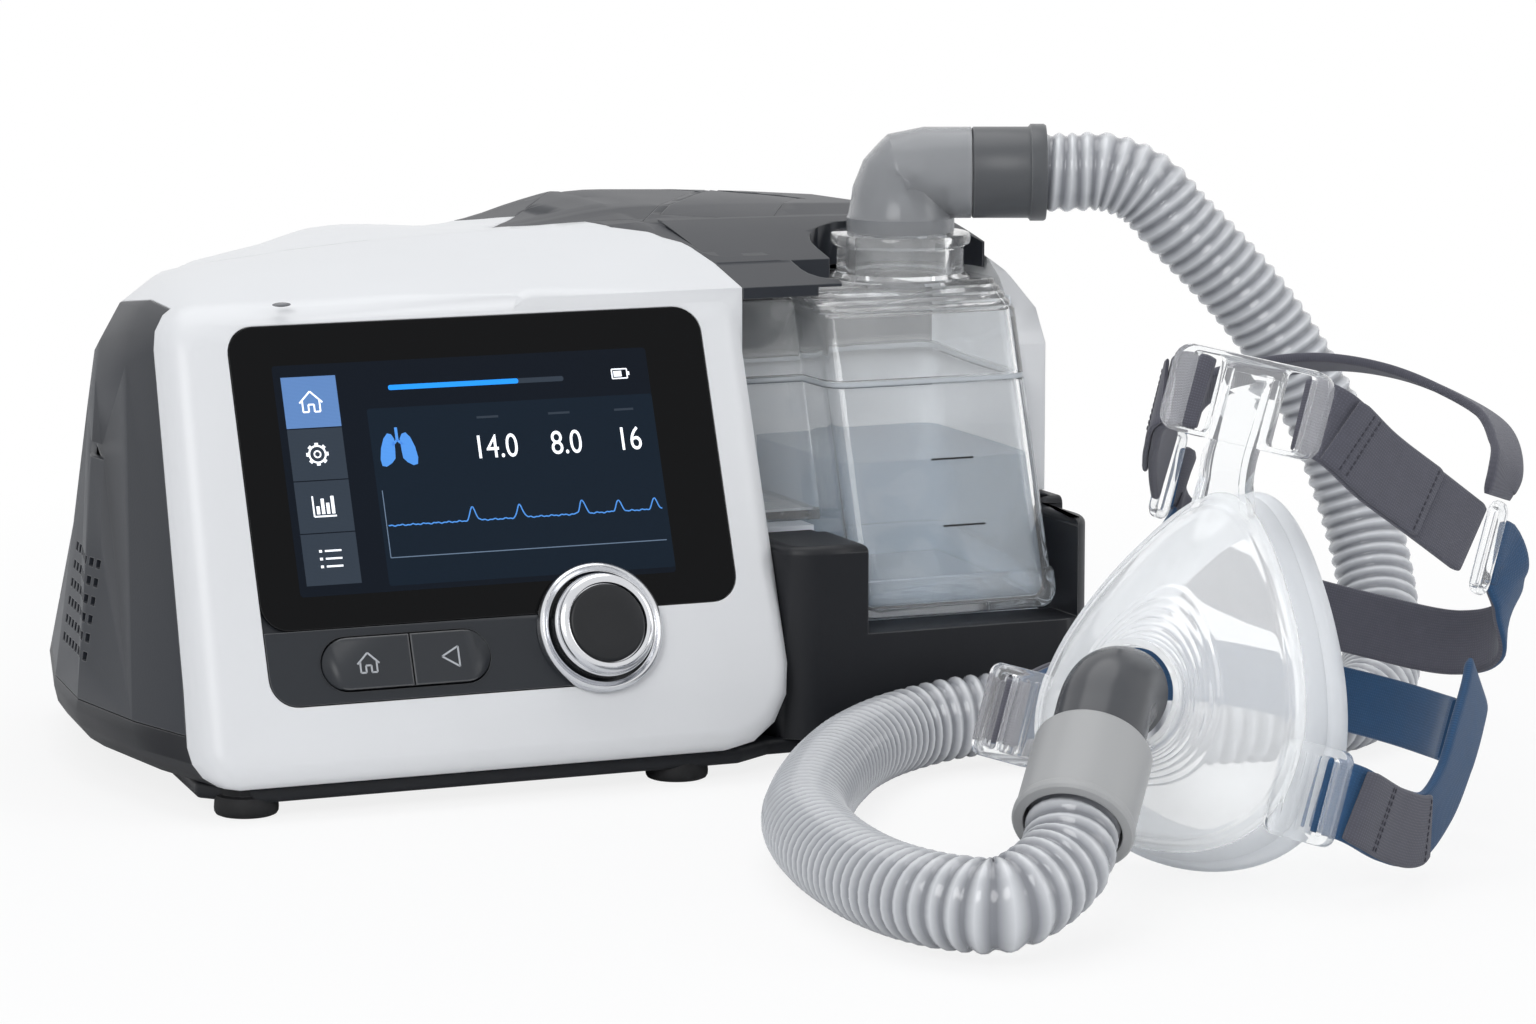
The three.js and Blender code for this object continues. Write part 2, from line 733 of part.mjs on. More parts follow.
// The wall between the front shell and the bay belongs to the base tray
const cheek = (grow) => box(faceRight - cornerBottomRight, faceRight, -far, bodyDepth / 3,
  seamHeight - grow, creaseZ - frontRound * 3 - seatGap);
const coverPockets = unite(
  coverPrism(serviceCorners, seatGap), coverPrism(flapCorners, seatGap), coverPrism(flapSwingRoom, 0),
).subtract(below(coverThick + seatGap * 2));
const topCover = bodyShell
  .intersect(box(leftSeamX, rightWallX - seatGap, -far, far, seamHeight, far))
  .subtract(whiteClear)
  .subtract(unite(bayMouth, slideWay, notchForNeck, linerClear.intersect(linerFront), bay))
  .subtract(rearPanelBox(seatGap))
  .subtract(cheek(0))
  .subtract(coverPockets);
addPiece('top_cover', topCover, dark);
const coverPiece = (corners) => bodyOuter.intersect(coverPrism(corners, 0)).subtract(below(coverThick));
addPiece('service_cover', coverPiece(serviceCorners), dark);
addPiece('card_flap', coverPiece(flapCorners), dark);

// White right flank: its front edge climbs from the lip and rolls back over the shoulder
const flankFront = 58;
const flankRiseDrop = 21.5;     // under the front crease
const flankRollRise = 3.5;      // over it
const flankRollY = 92;
const flankRiseZ = creaseZ - flankRiseDrop;
const flankRollZ = creaseZ + flankRollRise;
function flankProfile(grow) {
  const shape = new THREE.Shape();
  shape.moveTo(flankFront + grow, -far);
  shape.lineTo(flankFront + grow, flankRiseZ);
  shape.bezierCurveTo(flankFront + grow, flankRollZ - wall * 4, flankRollY - wall * 7, flankRollZ,
    flankRollY + grow, flankRollZ + wall * 2);
  shape.lineTo(flankRollY + frontRound + grow, far);
  shape.lineTo(far, far);
  shape.lineTo(far, -far);
  return shape;
}
const flankKeep = prismAlongX(flankProfile(0), rightWallX, far);
const rightShell = sideOuter.intersect(flankKeep).subtract(box(-far, far, -far, far, -far, lipTop + seatGap))
  .subtract(sideInner.intersect(prismAlongX(flankProfile(wall), rightWallX + wall, far)));
addPiece('right_shell', rightShell, white);

// Rear panel with the filter frame and the power socket's window
const rearPanel = bodyShell.intersect(rearPanelBox(0))
  .intersect(box(-far, far, bodyDepth - wall * 1.5, far, 0, far));
const filterHole = box(filterLeft, filterRight, 0, far, filterLow, filterHigh);
const filterFrame = box(filterLeft - wall, filterRight + wall, bodyDepth - filterDeep - wall, bodyDepth - wall / 2,
  filterLow - wall, filterHigh + wall);
const inletHalf = inletSize / 2;
const inletWindow = box(inletX - inletHalf - seatGap, inletX + inletHalf + seatGap, 0, far,
  inletZ - inletHalf - seatGap, inletZ + inletHalf + seatGap);
addPiece('rear_panel', rearPanel.add(filterFrame).subtract(unite(filterHole, inletWindow)), dark);

const grilleThick = 1.6;
const grilleBars = [];
const slotPitch = (filterHigh - filterLow) / (filterSlots + 1);
for (let i = 1; i <= filterSlots; i += 1) {
  const z = filterLow + slotPitch * i;
  grilleBars.push(box(filterLeft + wall, filterRight - wall, 0, far, z - slotPitch / 4, z + slotPitch / 4));
}
const grille = box(filterLeft + seatGap, filterRight - seatGap, bodyDepth - wall, bodyDepth - wall + grilleThick,
  filterLow + seatGap, filterHigh - seatGap).subtract(unite(...grilleBars));
addPiece('filter_cover', grille, dark);
addPiece('inlet_filter', box(filterLeft + seatGap, filterRight - seatGap,
  bodyDepth - filterDeep, bodyDepth - wall - seatGap, filterLow + seatGap, filterHigh - seatGap), foamGrey);

const socket = box(inletX - inletHalf, inletX + inletHalf, bodyDepth - inletSize, bodyDepth - grilleThick / 2,
  inletZ - inletHalf, inletZ + inletHalf);
const socketTurn = new THREE.Matrix4().makeRotationX(-Math.PI / 2).setPosition(inletX, 0, inletZ);
const socketHole = moved(disc(inletBore, bodyDepth - inletSize + wall, far), socketTurn);
addPiece('power_inlet', socket.subtract(socketHole), rubberBlack);

// Base tray with the apron that closes the bay's front below the tank
const apronOutline = roundedRect(faceRight - overrun, apronRight, apronFront, apronBack + apronCorner, apronCorner);
const apron = prism(apronOutline, footHeight, apronTop)
  .subtract(slideWay)
  .subtract(box(-far, far, apronBack, far, seamHeight - seatGap, far))
  .subtract(bay)
  .subtract(linerClear.intersect(linerFront.translate([0, -seatGap, 0])))
  .subtract(onFace(box(-far, faceRight + seatGap, -far, far, -faceSlab - seatGap, far)));
const tray = bodyShell.intersect(baseKeep)
  .subtract(whiteClear)
  .subtract(bay.intersect(box(-far, rightWallX, -far, apronBack, seamHeight, far)));
const cheekWall = bodyShell.intersect(cheek(wall)).subtract(whiteClear)
  .subtract(unite(linerClear.intersect(linerFront), bay, slideWay));
addPiece('base_tray', unite(tray, apron, cheekWall), darkBase);

footPlaces.forEach(([x, y], i) => {
  const foot = revolve([[0, 0], [footRadius - footBevel, 0], [footRadius, footBevel],
    [footRadius, footHeight / 2], [footRadius - footBevel * 2, footHeight - seatGap], [0, footHeight - seatGap]], 10);
  addPiece(`foot_${i + 1}`, foot.translate([x, y, 0]), rubberBlack);
});

// Humidifier bay liner, open to the front, with the air port at its rear
const portX = (sideLeft + tankLeft) / 2;
const portZ = (lidBottomZ + sideLidTop) / 2;
const airPortRadius = 7;
const airPortTurn = new THREE.Matrix4().makeRotationX(-Math.PI / 2).setPosition(portX, 0, portZ);
const airPort = moved(disc(airPortRadius, tankBack - tankWall * 2, tankBack + bayGap + cradleWall + overrun,
  0, 0, 20), airPortTurn);
const plateWide = 40;
const plateLong = 46;
const plateX = (tankLeft + tankRight) / 2;
const plateY = (tankFront + tankBack) / 2 + cradleSetback / 2;
const plateCorner = 6;
const plateOutline = (grow) => roundedRect(plateX - plateWide / 2 - grow, plateX + plateWide / 2 + grow,
  plateY - plateLong / 2 - grow, plateY + plateLong / 2 + grow, plateCorner + grow);
const liner = linerOuter.subtract(bay).subtract(slideWay).intersect(linerFront)
  .subtract(prism(plateOutline(seatGap), 0, tankFloor))
  .subtract(airPort)
  .intersect(unite(mainMass(wall + runningGap, innerFacets), sideMass(wall + runningGap, innerFacets)))
  .subtract(whiteClear)
  .subtract(box(rightWallX - seatGap, far, -far, far, -far, far));
addPiece('bay_liner', liner, darkBase);
const heaterTop = tankFloor - seatGap;
addPiece('heater_plate', prism(plateOutline(0), tankFloor - bayGap - cradleWall, heaterTop), steel);

// Tank tub: shell with its foot flange, the level marks' bead and the window of the metal floor plate
const tub = unite(
  tankBlock(0, tankFloor, rimZ),
  sideBlock(0, sideFloor, rimZ),
  tankBlock(flangeOut, tankFloor, tankFloor + flangeHeight),
).subtract(unite(
  tankBlock(-tankWall, tankFloor + tankWall, rimZ + overrun),
  sideBlock(-tankWall, sideFloor + tankWall, rimZ + overrun),
)).subtract(prism(plateOutline(seatGap), 0, tankFloor + tankWall * 2));
addPiece('tank_tub', tub, clear);
addPiece('tank_floor_plate', prism(plateOutline(0), tankFloor, tankFloor + tankWall), steel);

// Seal between tub and lid
const sealRing = unite(tankBlock(-seatGap, rimZ + seatGap, sealTopZ), sideBlock(-seatGap, rimZ + seatGap, sealTopZ))
  .subtract(unite(
    tankBlock(-tankWall, rimZ - overrun, sealTopZ + overrun),
    sideBlock(-tankWall, rimZ - overrun, sealTopZ + overrun),
  ));
addPiece('lid_seal', sealRing, rubberBlack);

// Tank lid: straight front, stepped slope, round neck for the elbow
const slopeRun = 11;
function lidBlock(offset, low, steps = lidStepCount) {
  const at = (z, back) => tankRing(z, tankLeft, tankRight, tankFrontAt(z) + back, offset, tankCorner);
  const rings = [at(low, 0), at(shoulderZ, 0)];
  const rise = (lidTop + offset - shoulderZ) / steps;
  for (let i = 0; i < steps; i += 1) {
    const z = shoulderZ + rise * i;
    if (steps > 1) rings.push(at(z + rise / 6, slopeRun * (i + 1) / steps));
    rings.push(at(z + rise, slopeRun * (i + 1) / steps));
  }
  return solid(loft(rings));
}
const lidOuter = unite(lidBlock(0, lidBottomZ), sideBlock(0, lidBottomZ, sideLidTop));
const lidInner = unite(lidBlock(-tankWall, lidBottomZ - overrun, 1),
  sideBlock(-tankWall, lidBottomZ - overrun, sideLidTop - tankWall));
const neckLip = 1;
const neckWaist = neckRadius - neckLip * 1.5;
const neckStep = 2.4;
const neckMiddle = (lidTop + neckTop) / 2;
const neckRings = [
  [neckBore, lidTop - tankWall], [neckRadius + neckLip, lidTop - tankWall], [neckRadius + neckLip, lidTop + neckLip],
  [neckWaist, lidTop + neckStep], [neckWaist, neckMiddle - neckStep], [neckRadius, neckMiddle],
  [neckWaist, neckMiddle + neckStep], [neckWaist, neckTop - neckStep], [neckRadius, neckTop - neckStep],
  [neckRadius, neckTop], [neckBore, neckTop],
];
const neck = revolve(neckRings, 20).translate([neckX, neckY, 0]);
const lid = lidOuter.add(neck).subtract(lidInner)
  .subtract(disc(neckBore, lidBottomZ, far, neckX, neckY, 20))
  .subtract(airPort);
addPiece('tank_lid', lid, clear);

// Outlet elbow: a tapering riser meets a level arm on a mitre
const arm = new THREE.Vector3(Math.cos(elbowHeading), Math.sin(elbowHeading), 0);
const elbowCorner = new THREE.Vector3(neckX, neckY, elbowAxisZ);
const elbowSides = 12;
const mitreRadius = elbowArmRadius * mitreSwell_share;
function elbowRings(shrink) {
  const across = new THREE.Vector3(-arm.y, arm.x, 0);
  const riser = (z, radius) => ring((a, b) => elbowCorner.clone().setZ(z)
    .addScaledVector(arm, -a * radius).addScaledVector(across, b * radius));
  const level = (along, radius) => ring((a, b) => elbowCorner.clone()
    .addScaledVector(arm, along).addScaledVector(across, b * radius).add(new THREE.Vector3(0, 0, a * radius)));
  const mitre = (radius, turn) => ring((a, b) => elbowCorner.clone().addScaledVector(across, b * radius)
    .addScaledVector(arm, -a * radius * (1 - turn)).add(new THREE.Vector3(0, 0, a * radius * turn)));
  const bottom = neckTop + seatGap;
  return [
    riser(bottom, elbowBaseRadius - shrink),
    riser(bottom + overrun, elbowBaseRadius - shrink),
    riser(elbowAxisZ - overrun, (elbowArmRadius * 3 + elbowBaseRadius) / 4 - shrink),
    ...mitreTurn_shares.map((turn) => mitre(mitreRadius - shrink, turn)),
    level(elbowArmRadius / 2, elbowArmRadius - shrink),
    level(elbowArm, elbowArmRadius - shrink),
  ];
}
function ring(place) {
  return Array.from({ length: elbowSides }, (_, j) => {
    const angle = (j / elbowSides) * 2 * Math.PI;
    return place(Math.cos(angle), Math.sin(angle));
  });
}
addPiece('outlet_elbow', loft([...elbowRings(0), ...elbowRings(elbowWall).reverse()], true), smoke);

// A round sleeve with a socket for the hose's end, made along +Z and then turned along the given axis
function cuffSolid({ sleeve, rim, rimLength, length, socket: deep, bore, room }) {
  return revolve([
    [bore, 0], [sleeve, 0], [sleeve, length - rimLength], [rim, length - rimLength], [rim, length],
    [room, length], [room, length - deep], [bore, length - deep],
  ], 16);
}
function alongAxis(origin, direction) {
  const turn = new THREE.Quaternion().setFromUnitVectors(new THREE.Vector3(0, 0, 1), direction.clone().normalize());
  return new THREE.Matrix4().compose(origin, turn, new THREE.Vector3(1, 1, 1));
}
const cuffStart = elbowCorner.clone().addScaledVector(arm, elbowArm + seatGap);
const socketRoom = hoseRadius + runningGap;
addPiece('outlet_cuff', moved(cuffSolid({
  sleeve: cuffSleeveRadius, rim: cuffRimRadius, rimLength: cuffRimLength, length: cuffLength,
  socket: socketDepth, bore: cuffBore, room: socketRoom,
}), alongAxis(cuffStart, arm)), cuffGrey);

// Front controls
const glassOutline = (grow) => roundedRect(panelLeft - grow, panelRight + grow, glassBottom - grow, panelTop + grow,
  panelRound + grow);
const knobClear = disc(knobRingRadius - buttonLip, -far, far, knobU, knobV, 28);
const screenU = (panelLeft + panelRight) / 2;
const screenV = (glassBottom + panelTop) / 2;
const screenBox = (grow, low, high) => box(screenU - screenWide / 2 - grow, screenU + screenWide / 2 + grow,
  screenV - screenHigh / 2 - grow, screenV + screenHigh / 2 + grow, low, high);
const pillRadius = (pillTop - pillBottom) / 2;
const pill = (grow, low, high) => prism(roundedRect(pillLeft - grow, pillRight + grow, pillBottom - grow,
  pillTop + grow, pillRadius + grow), low, high);
const leftHalf = (gap) => box(-far, pillSplit - gap, -far, far, -far, far);
const rightHalf = (gap) => box(pillSplit + gap, far, -far, far, -far, far);
const knobHole = disc(shaftRadius + runningGap, -far, far, knobU, knobV, 20);
const controlPanel = prism(panelOutline(0), -panelThick, 0)
  .subtract(prism(glassOutline(overrun), -glassThick - seatGap, overrun).subtract(
    box(-far, far, -far, glassBottom - seatGap, -far, far)).subtract(knobClear))
  .subtract(screenBox(seatGap, -far, far))
  .subtract(pill(runningGap, -far, far))
  .subtract(knobHole);
addPiece('control_panel', controlPanel, panelGrey, facePlane);
const glass = prism(glassOutline(0), -glassThick, 0)
  .subtract(disc(knobRingRadius - buttonLip + seatGap, -far, far, knobU, knobV, 28));
addPiece('screen_glass', glass, glassBlack, facePlane);
const screenFront = -glassThick - seatGap * 2;
addPiece('display_module', screenBox(0, screenFront - screenThick, screenFront), innerGrey, facePlane);

const switchHeight = 3.5;
const switchSize = 6;
const stemRadius = 2;
const lipThick = 1.4;
const buttonV = (pillBottom + pillTop) / 2;
const homeU = (pillLeft + pillSplit) / 2;
const backU = (pillSplit + pillRight) / 2;
const stemEnd = -boardDepth + switchHeight + buttonTravel + seatGap;
function button(half, u) {
  const cap = pill(0, -panelThick - seatGap - lipThick, buttonProud).intersect(half(runningGap / 2));
  const lip = pill(buttonLip + runningGap, -panelThick - seatGap - lipThick, -panelThick - seatGap)
    .intersect(half(runningGap / 2));
  return unite(cap, lip, disc(stemRadius, stemEnd, -panelThick, u, buttonV, 12));
}
addPiece('home_button', button(leftHalf, homeU), panelGrey, facePlane);
addPiece('back_button', button(rightHalf, backU), panelGrey, facePlane);

const ringBase = seatGap;
addPiece('knob_ring', revolve([
  [knobRadius + knobGap, ringBase], [knobRingRadius, ringBase], [knobRingRadius, ringHeight - ringBevel],
  [knobRingRadius - ringBevel, ringHeight], [knobRadius + knobGap, ringHeight],
], 24).translate([knobU, knobV, 0]), chrome, facePlane);
const knobFloor = ringBase + knobPress + seatGap;
const capPocket = knobCapThick + seatGap;
const shaftTop = knobProud - capPocket - knobWeb;
const knobGroup = new THREE.Group();
knobGroup.position.set(knobU, knobV, 0);
facePlane.add(knobGroup);
addPiece('knob_body', revolve([
  [shaftRadius + seatGap, knobFloor], [knobRadius, knobFloor], [knobRadius, knobProud - knobBevel * 2 - knobStep],
  [knobRadius - knobStep, knobProud - knobBevel * 2], [knobRadius - knobStep, knobProud - knobBevel],
  [knobRadius - knobStep - knobBevel, knobProud],
  [knobFaceRadius + seatGap, knobProud], [knobFaceRadius + seatGap, knobProud - capPocket],
  [0, knobProud - capPocket], [0, shaftTop + seatGap], [shaftRadius + seatGap, shaftTop + seatGap],
], 20), chrome, knobGroup);
addPiece('knob_cap', disc(knobFaceRadius, knobProud - knobCapThick, knobProud), rubberBlack, knobGroup);
const encoderHigh = 7;
const encoderSize = 14;
const encoderTop = -boardDepth + encoderHigh;
const encoderFloor = 1.6;
const shaftEnd = encoderTop - encoderHigh + encoderFloor + knobPress + seatGap;
addPiece('encoder_shaft', disc(shaftRadius, shaftEnd, shaftTop, 0, 0, 20), steel, knobGroup);
const encoderBlock = box(-encoderSize / 2, encoderSize / 2, -encoderSize / 2, encoderSize / 2,
  -boardDepth + seatGap, encoderTop);
const encoderBore = disc(shaftRadius + seatGap, -boardDepth + encoderFloor, far, 0, 0, 20);
addPiece('encoder_body', encoderBlock.subtract(encoderBore), innerGrey, knobGroup);

const boardPlate = prism(roundedRect(boardLeft, boardRight, boardLow, boardHigh, postRadius),
  -boardDepth - boardThick, -boardDepth);
const switches = [homeU, backU].map((u) => box(u - switchSize / 2, u + switchSize / 2,
  buttonV - switchSize / 2, buttonV + switchSize / 2, -boardDepth - boardThick / 2, -boardDepth + switchHeight));
const connector = box(screenU - screenHigh / 4, screenU + screenHigh / 4, screenV - switchSize, screenV + switchSize,
  -boardDepth - boardThick / 2, screenFront - screenThick - seatGap);
addPiece('main_board', unite(boardPlate, ...switches, connector), boardGreen, facePlane);

// Blower: motor, impeller, scroll housing with legs, and the duct to the bay's air port
const trayFloor = footHeight + wall;
const blowerX = -14;
const blowerY = 118;
const scrollRadius = 34;
const scrollWall = 2.2;
const scrollLow = 27;
const scrollHigh = 62;
const eyeRadius = 13;
const legRadius = 4;
const legPlaces_share = [[0.82, 0.45], [-0.82, 0.45], [0, -0.93]];
const outletRadius = 9;
const outletZ = (scrollLow + scrollHigh) / 2;
const outletY = blowerY + scrollRadius - outletRadius - scrollWall;
const outletReach = 26;
const outletTurn = new THREE.Matrix4().makeRotationY(Math.PI / 2).setPosition(0, outletY, outletZ);
const outletEnd = blowerX + scrollRadius + outletReach;
const outletTube = (radius, from, to = outletEnd) => moved(disc(radius, from, to, 0, 0, 12), outletTurn);
const scrollOuter = unite(
  disc(scrollRadius, scrollLow, scrollHigh, blowerX, blowerY, 20),
  outletTube(outletRadius, blowerX),
  ...legPlaces_share.map(([a, b]) => disc(legRadius, trayFloor + seatGap, scrollLow + scrollWall / 2,
    blowerX + a * scrollRadius, blowerY + b * scrollRadius, 6)),
);
const motorRadius = 15;
const spindleRadius = 2;
const scrollInner = unite(
  disc(scrollRadius - scrollWall, scrollLow + scrollWall, scrollHigh - scrollWall, blowerX, blowerY, 20),
  outletTube(outletRadius - scrollWall, blowerX, outletEnd + overrun),
  disc(eyeRadius, scrollLow + overrun, far, blowerX, blowerY, 16),
  disc(spindleRadius + runningGap, 0, scrollHigh - overrun, blowerX, blowerY, 12),
);
addPiece('blower_housing', scrollOuter.subtract(scrollInner), innerGrey);
const spindleTop = scrollHigh - scrollWall - overrun * 2;
addPiece('blower_motor', unite(
  disc(motorRadius, trayFloor + seatGap, scrollLow - seatGap, blowerX, blowerY, 16),
  disc(spindleRadius, scrollLow - overrun, spindleTop, blowerX, blowerY, 12),
), steel);
const impellerRadius = 27;
const hubRadius = 7;
const bladeCount = 9;
const bladeThick = 1.4;
const bladeSweep = THREE.MathUtils.degToRad(35);
const impellerLift = 1;
const hubProud = 2;
const impellerLow = scrollLow + scrollWall + impellerLift;
const impellerHigh = spindleTop + hubProud;
const diskThick = 1.6;
const blades = Array.from({ length: bladeCount }, (_, i) => {
  const long = impellerRadius - hubRadius;
  const blade = box(0, long, -bladeThick / 2, bladeThick / 2, impellerLow + diskThick / 2, impellerHigh - overrun / 2);
  const turn = new THREE.Matrix4().makeRotationZ((i / bladeCount) * 2 * Math.PI)
    .multiply(new THREE.Matrix4().makeTranslation(hubRadius - bladeThick, 0, 0))
    .multiply(new THREE.Matrix4().makeRotationZ(bladeSweep));
  return moved(blade, turn);
});
const impeller = unite(
  disc(impellerRadius, impellerLow, impellerLow + diskThick, 0, 0, 20),
  disc(hubRadius, impellerLow, impellerHigh, 0, 0, 12),
  ...blades,
).intersect(disc(impellerRadius, 0, far, 0, 0, 20))
  .subtract(disc(spindleRadius + seatGap, 0, spindleTop + seatGap, 0, 0, 10));
addPiece('impeller', impeller.translate([blowerX, blowerY, 0]), white);

const ductStart = new THREE.Vector3(outletEnd + seatGap, outletY, outletZ);
const ductEnd = new THREE.Vector3(portX, tankBack + bayGap + cradleWall + seatGap, portZ);
const ductCurve = new THREE.CubicBezierCurve3(ductStart,
  new THREE.Vector3(portX, outletY, outletZ),
  new THREE.Vector3(portX, outletY, portZ + overrun), ductEnd);
const ductPoints = ductCurve.getPoints(6);
const ductExtended = [
  ductStart.clone().add(new THREE.Vector3(-overrun, 0, 0)),
  ...ductPoints,
  ductEnd.clone().add(new THREE.Vector3(0, -overrun, 0)),
];
const ductTube = (radius) => solid(loft(tubeRings(ductExtended, radius, 8)));
addPiece('air_duct', ductTube(outletRadius).subtract(ductTube(outletRadius - scrollWall))
  .intersect(box(ductStart.x, far, ductEnd.y, far, -far, far)), innerGrey);

// Ribbed hose: one unbroken tube from the outlet cuff, over the right side, round behind the mask
// and in front of the machine to the mask's collar
const hoseEnd = [[61.54, -210.1, 20.94], [67.6, -202.89, 27.53], [73.65, -195.67, 34.13]];
const hoseRoute = [
  [182.7, 60.9, 157], [188.2, 58.6, 157], [193.7, 56.2, 157], [203.9, 51.9, 157], [214, 47.6, 152.5],
  [223, 44, 142.5], [233, 41, 132], [242.2, 38.5, 121.5], [251, 36.5, 110], [259, 34, 97], [265.5, 31, 83.5],
  [271, 26.5, 65.5], [273, 18.5, 47], [270, 7, 31], [261.5, -8, 18.5], [247, -22, 12.4], [228, -30, 11.8],
  [207, -31, 11.8], [186, -25.5, 11.8], [168, -15, 12.4], [151, -7, 14.4], [134, -3.8, 14.4], [114, -6.5, 12.4],
  [93.8, -22.5, 11.8], [72, -51, 11.8], [54.3, -80, 11.8], [42.4, -104, 11.8], [34.8, -131, 11.8],
  [31.2, -155, 11.8], [29.8, -175, 12.2], [31, -193, 12.8], [35.5, -207, 13.3], [44, -216, 14.2], ...hoseEnd,
].map(([x, y, z]) => new THREE.Vector3(x, y, z));

function hoseSolid() {
  const curve = new THREE.CatmullRomCurve3(hoseRoute, false, 'centripetal');
  curve.arcLengthDivisions = 800;
  const length = curve.getLength();
  const ribs = Math.floor(length / ribPitch);
  const stations = [];
  const radii = [];
  for (let i = 0; i <= ribs; i += 1) {
    stations.push(curve.getPointAt(i / ribs));
    radii.push(i === 0 || i === ribs ? hoseRoot : hoseRadius);
    if (i < ribs) {
      stations.push(curve.getPointAt((i + 0.5) / ribs));
      radii.push(hoseRoot);
    }
  }
  const outer = tubeRings(stations, radii, ribSides);
  const bore = tubeRings(stations, hoseBore, ribSides)
    .filter((unused, i) => i % (ribsPerBoreRing * 2) === 0 || i === stations.length - 1);
  const gap = selfGap(stations);
  console.log(`hose length ${length.toFixed(0)} mm, ${ribs} ribs, least gap to itself ${gap.toFixed(1)} mm`);
  return loft([...outer, ...bore.reverse()], true);
}

// Least distance between two stretches of the hose that aren't neighbours, less its own diameter
function selfGap(stations) {
  const apart = Math.ceil(hoseRadius * Math.PI * 2 / ribPitch) * 2;
  let least = Infinity;
  for (let i = 0; i < stations.length; i += 1) {
    for (let j = i + apart; j < stations.length; j += 1) {
      least = Math.min(least, stations[i].distanceTo(stations[j]) - hoseRadius * 2);
    }
  }
  if (least < selfGapMinimum) throw new Error('the hose touches itself');
  return least;
}
addPiece('hose', hoseSolid(), hoseClear);

// Mask: soft cushion, clear frame with its port, forehead arm and two strap clips
const maskGroup = new THREE.Group();
maskGroup.rotation.order = 'ZXY';
maskGroup.rotation.set(-maskLean, maskRoll, maskHeading);
maskGroup.position.copy(maskPlace);
maskGroup.updateMatrixWorld(true);
part.add(maskGroup);
const maskSides = 22;
const maskBeyond = maskHalfHeight * 2;
const maskPoint = (angle, y, scale, drop = 0) => new THREE.Vector3(
  maskHalfWidth * scale * Math.cos(angle) * (1 - maskTaper * Math.sin(angle)),
  y,
  maskHalfHeight * scale * Math.sin(angle) + drop,
);
const circlePoint = (angle, y, radius) => new THREE.Vector3(
  radius * Math.cos(angle), y, radius * Math.sin(angle) - portDrop);
const aroundMask = (place) => Array.from({ length: maskSides }, (_, j) => place((j / maskSides) * 2 * Math.PI));

// Stations as shares of the cushion's depth and of the face outline
const cushionOuter_shares = [[-0.7, 0.93], [-0.35, 0.99], [0, 1.03], [0.2, 1.0], [0.3, 0.93]];
const cushionInner_shares = [[0.26, 0.8], [0.14, 0.86], [-0.1, 0.94], [-0.7, 0.87]];
const cushion = loft([...cushionOuter_shares, ...cushionInner_shares].map(([depth, scale]) =>
  aroundMask((angle) => maskPoint(angle, depth * cushionDepth, scale))), true);
addPiece('mask_cushion', cushion, silicone, maskGroup);

// Frame rings morph from the face outline to the round port
const frameBack = -0.7 * cushionDepth - seatGap;
const frame_shares = [
  [0, 0.95, 0], [0.1, 0.93, 0], [0.45, 0.8, 0.15], [0.78, 0.55, 0.5], [1, 0.3, 1], [1.15, 0.3, 1],
];
const frameRim_share = 0.2;       // the rim's part of the depth, open at the back
const frontWall_share = 0.8;      // of the wall's thickness, taken along the depth
function frameRing(depth, scale, blend, shrink) {
  const y = frameBack - depth * frameDepth + (depth > frameRim_share ? shrink * frontWall_share : 0);
  return aroundMask((angle) => {
    const face = maskPoint(angle, y, scale - shrink / maskHalfWidth, -portDrop * blend);
    return face.lerp(circlePoint(angle, y, portRadius - shrink), blend);
  });
}
const portFace = frameBack - frame_shares.at(-1)[0] * frameDepth;
const frameRings = [
  ...frame_shares.map(([depth, scale, blend]) => frameRing(depth, scale, blend, 0)),
  ...frame_shares.toReversed().map(([depth, scale, blend], i) => {
    const ringPoints = frameRing(depth, scale, blend, maskWall);
    if (i === 0) ringPoints.forEach((point) => { point.y = portFace; });
    return ringPoints;
  }),
];
const frameShell = solid(loft(frameRings, true));

// Forehead arm rises from the frame's top and carries a crossbar with two strap slots
const armWide = 13;
const armThick = 5;
const armFoot_share = 0.84;
const armFoot = maskHalfHeight * armFoot_share;
const slotInset = 2;
const barHigh = 22;
const barEnd = 5;
const armSpan = band([
  new THREE.Vector3(0, frameBack - armThick * 0.4, armFoot),
  new THREE.Vector3(0, frameBack - armThick * 1.3, armFoot + armWide),
  new THREE.Vector3(0, frameBack - armThick, foreheadHeight + barHigh / 3),
], [new THREE.Vector3(1, 0, 0), new THREE.Vector3(1, 0, 0)], armWide, armThick, 6);
const crossbar = box(-foreheadWide / 2, foreheadWide / 2, frameBack - armThick * 1.4, frameBack - armThick * 0.6,
  foreheadHeight - barHigh / 2, foreheadHeight + barHigh / 2);
const slotAt = (side) => {
  const inner = armWide / 2 + slotInset;
  const outer = foreheadWide / 2 - barEnd;
  const half = strapWide / 2 + runningGap;
  const [from, to] = side > 0 ? [inner, outer] : [-outer, -inner];
  return box(from, to, -maskBeyond, maskBeyond, foreheadHeight - half, foreheadHeight + half);
};
const clipX = maskHalfWidth * 1.06;
const clipZ = -maskHalfHeight * 0.46;
const clipLong = 13;
const clipHigh = 24;
const clipThick = 5;
const clipSlot = 3.4;
const clipY = frameBack - clipThick / 2;
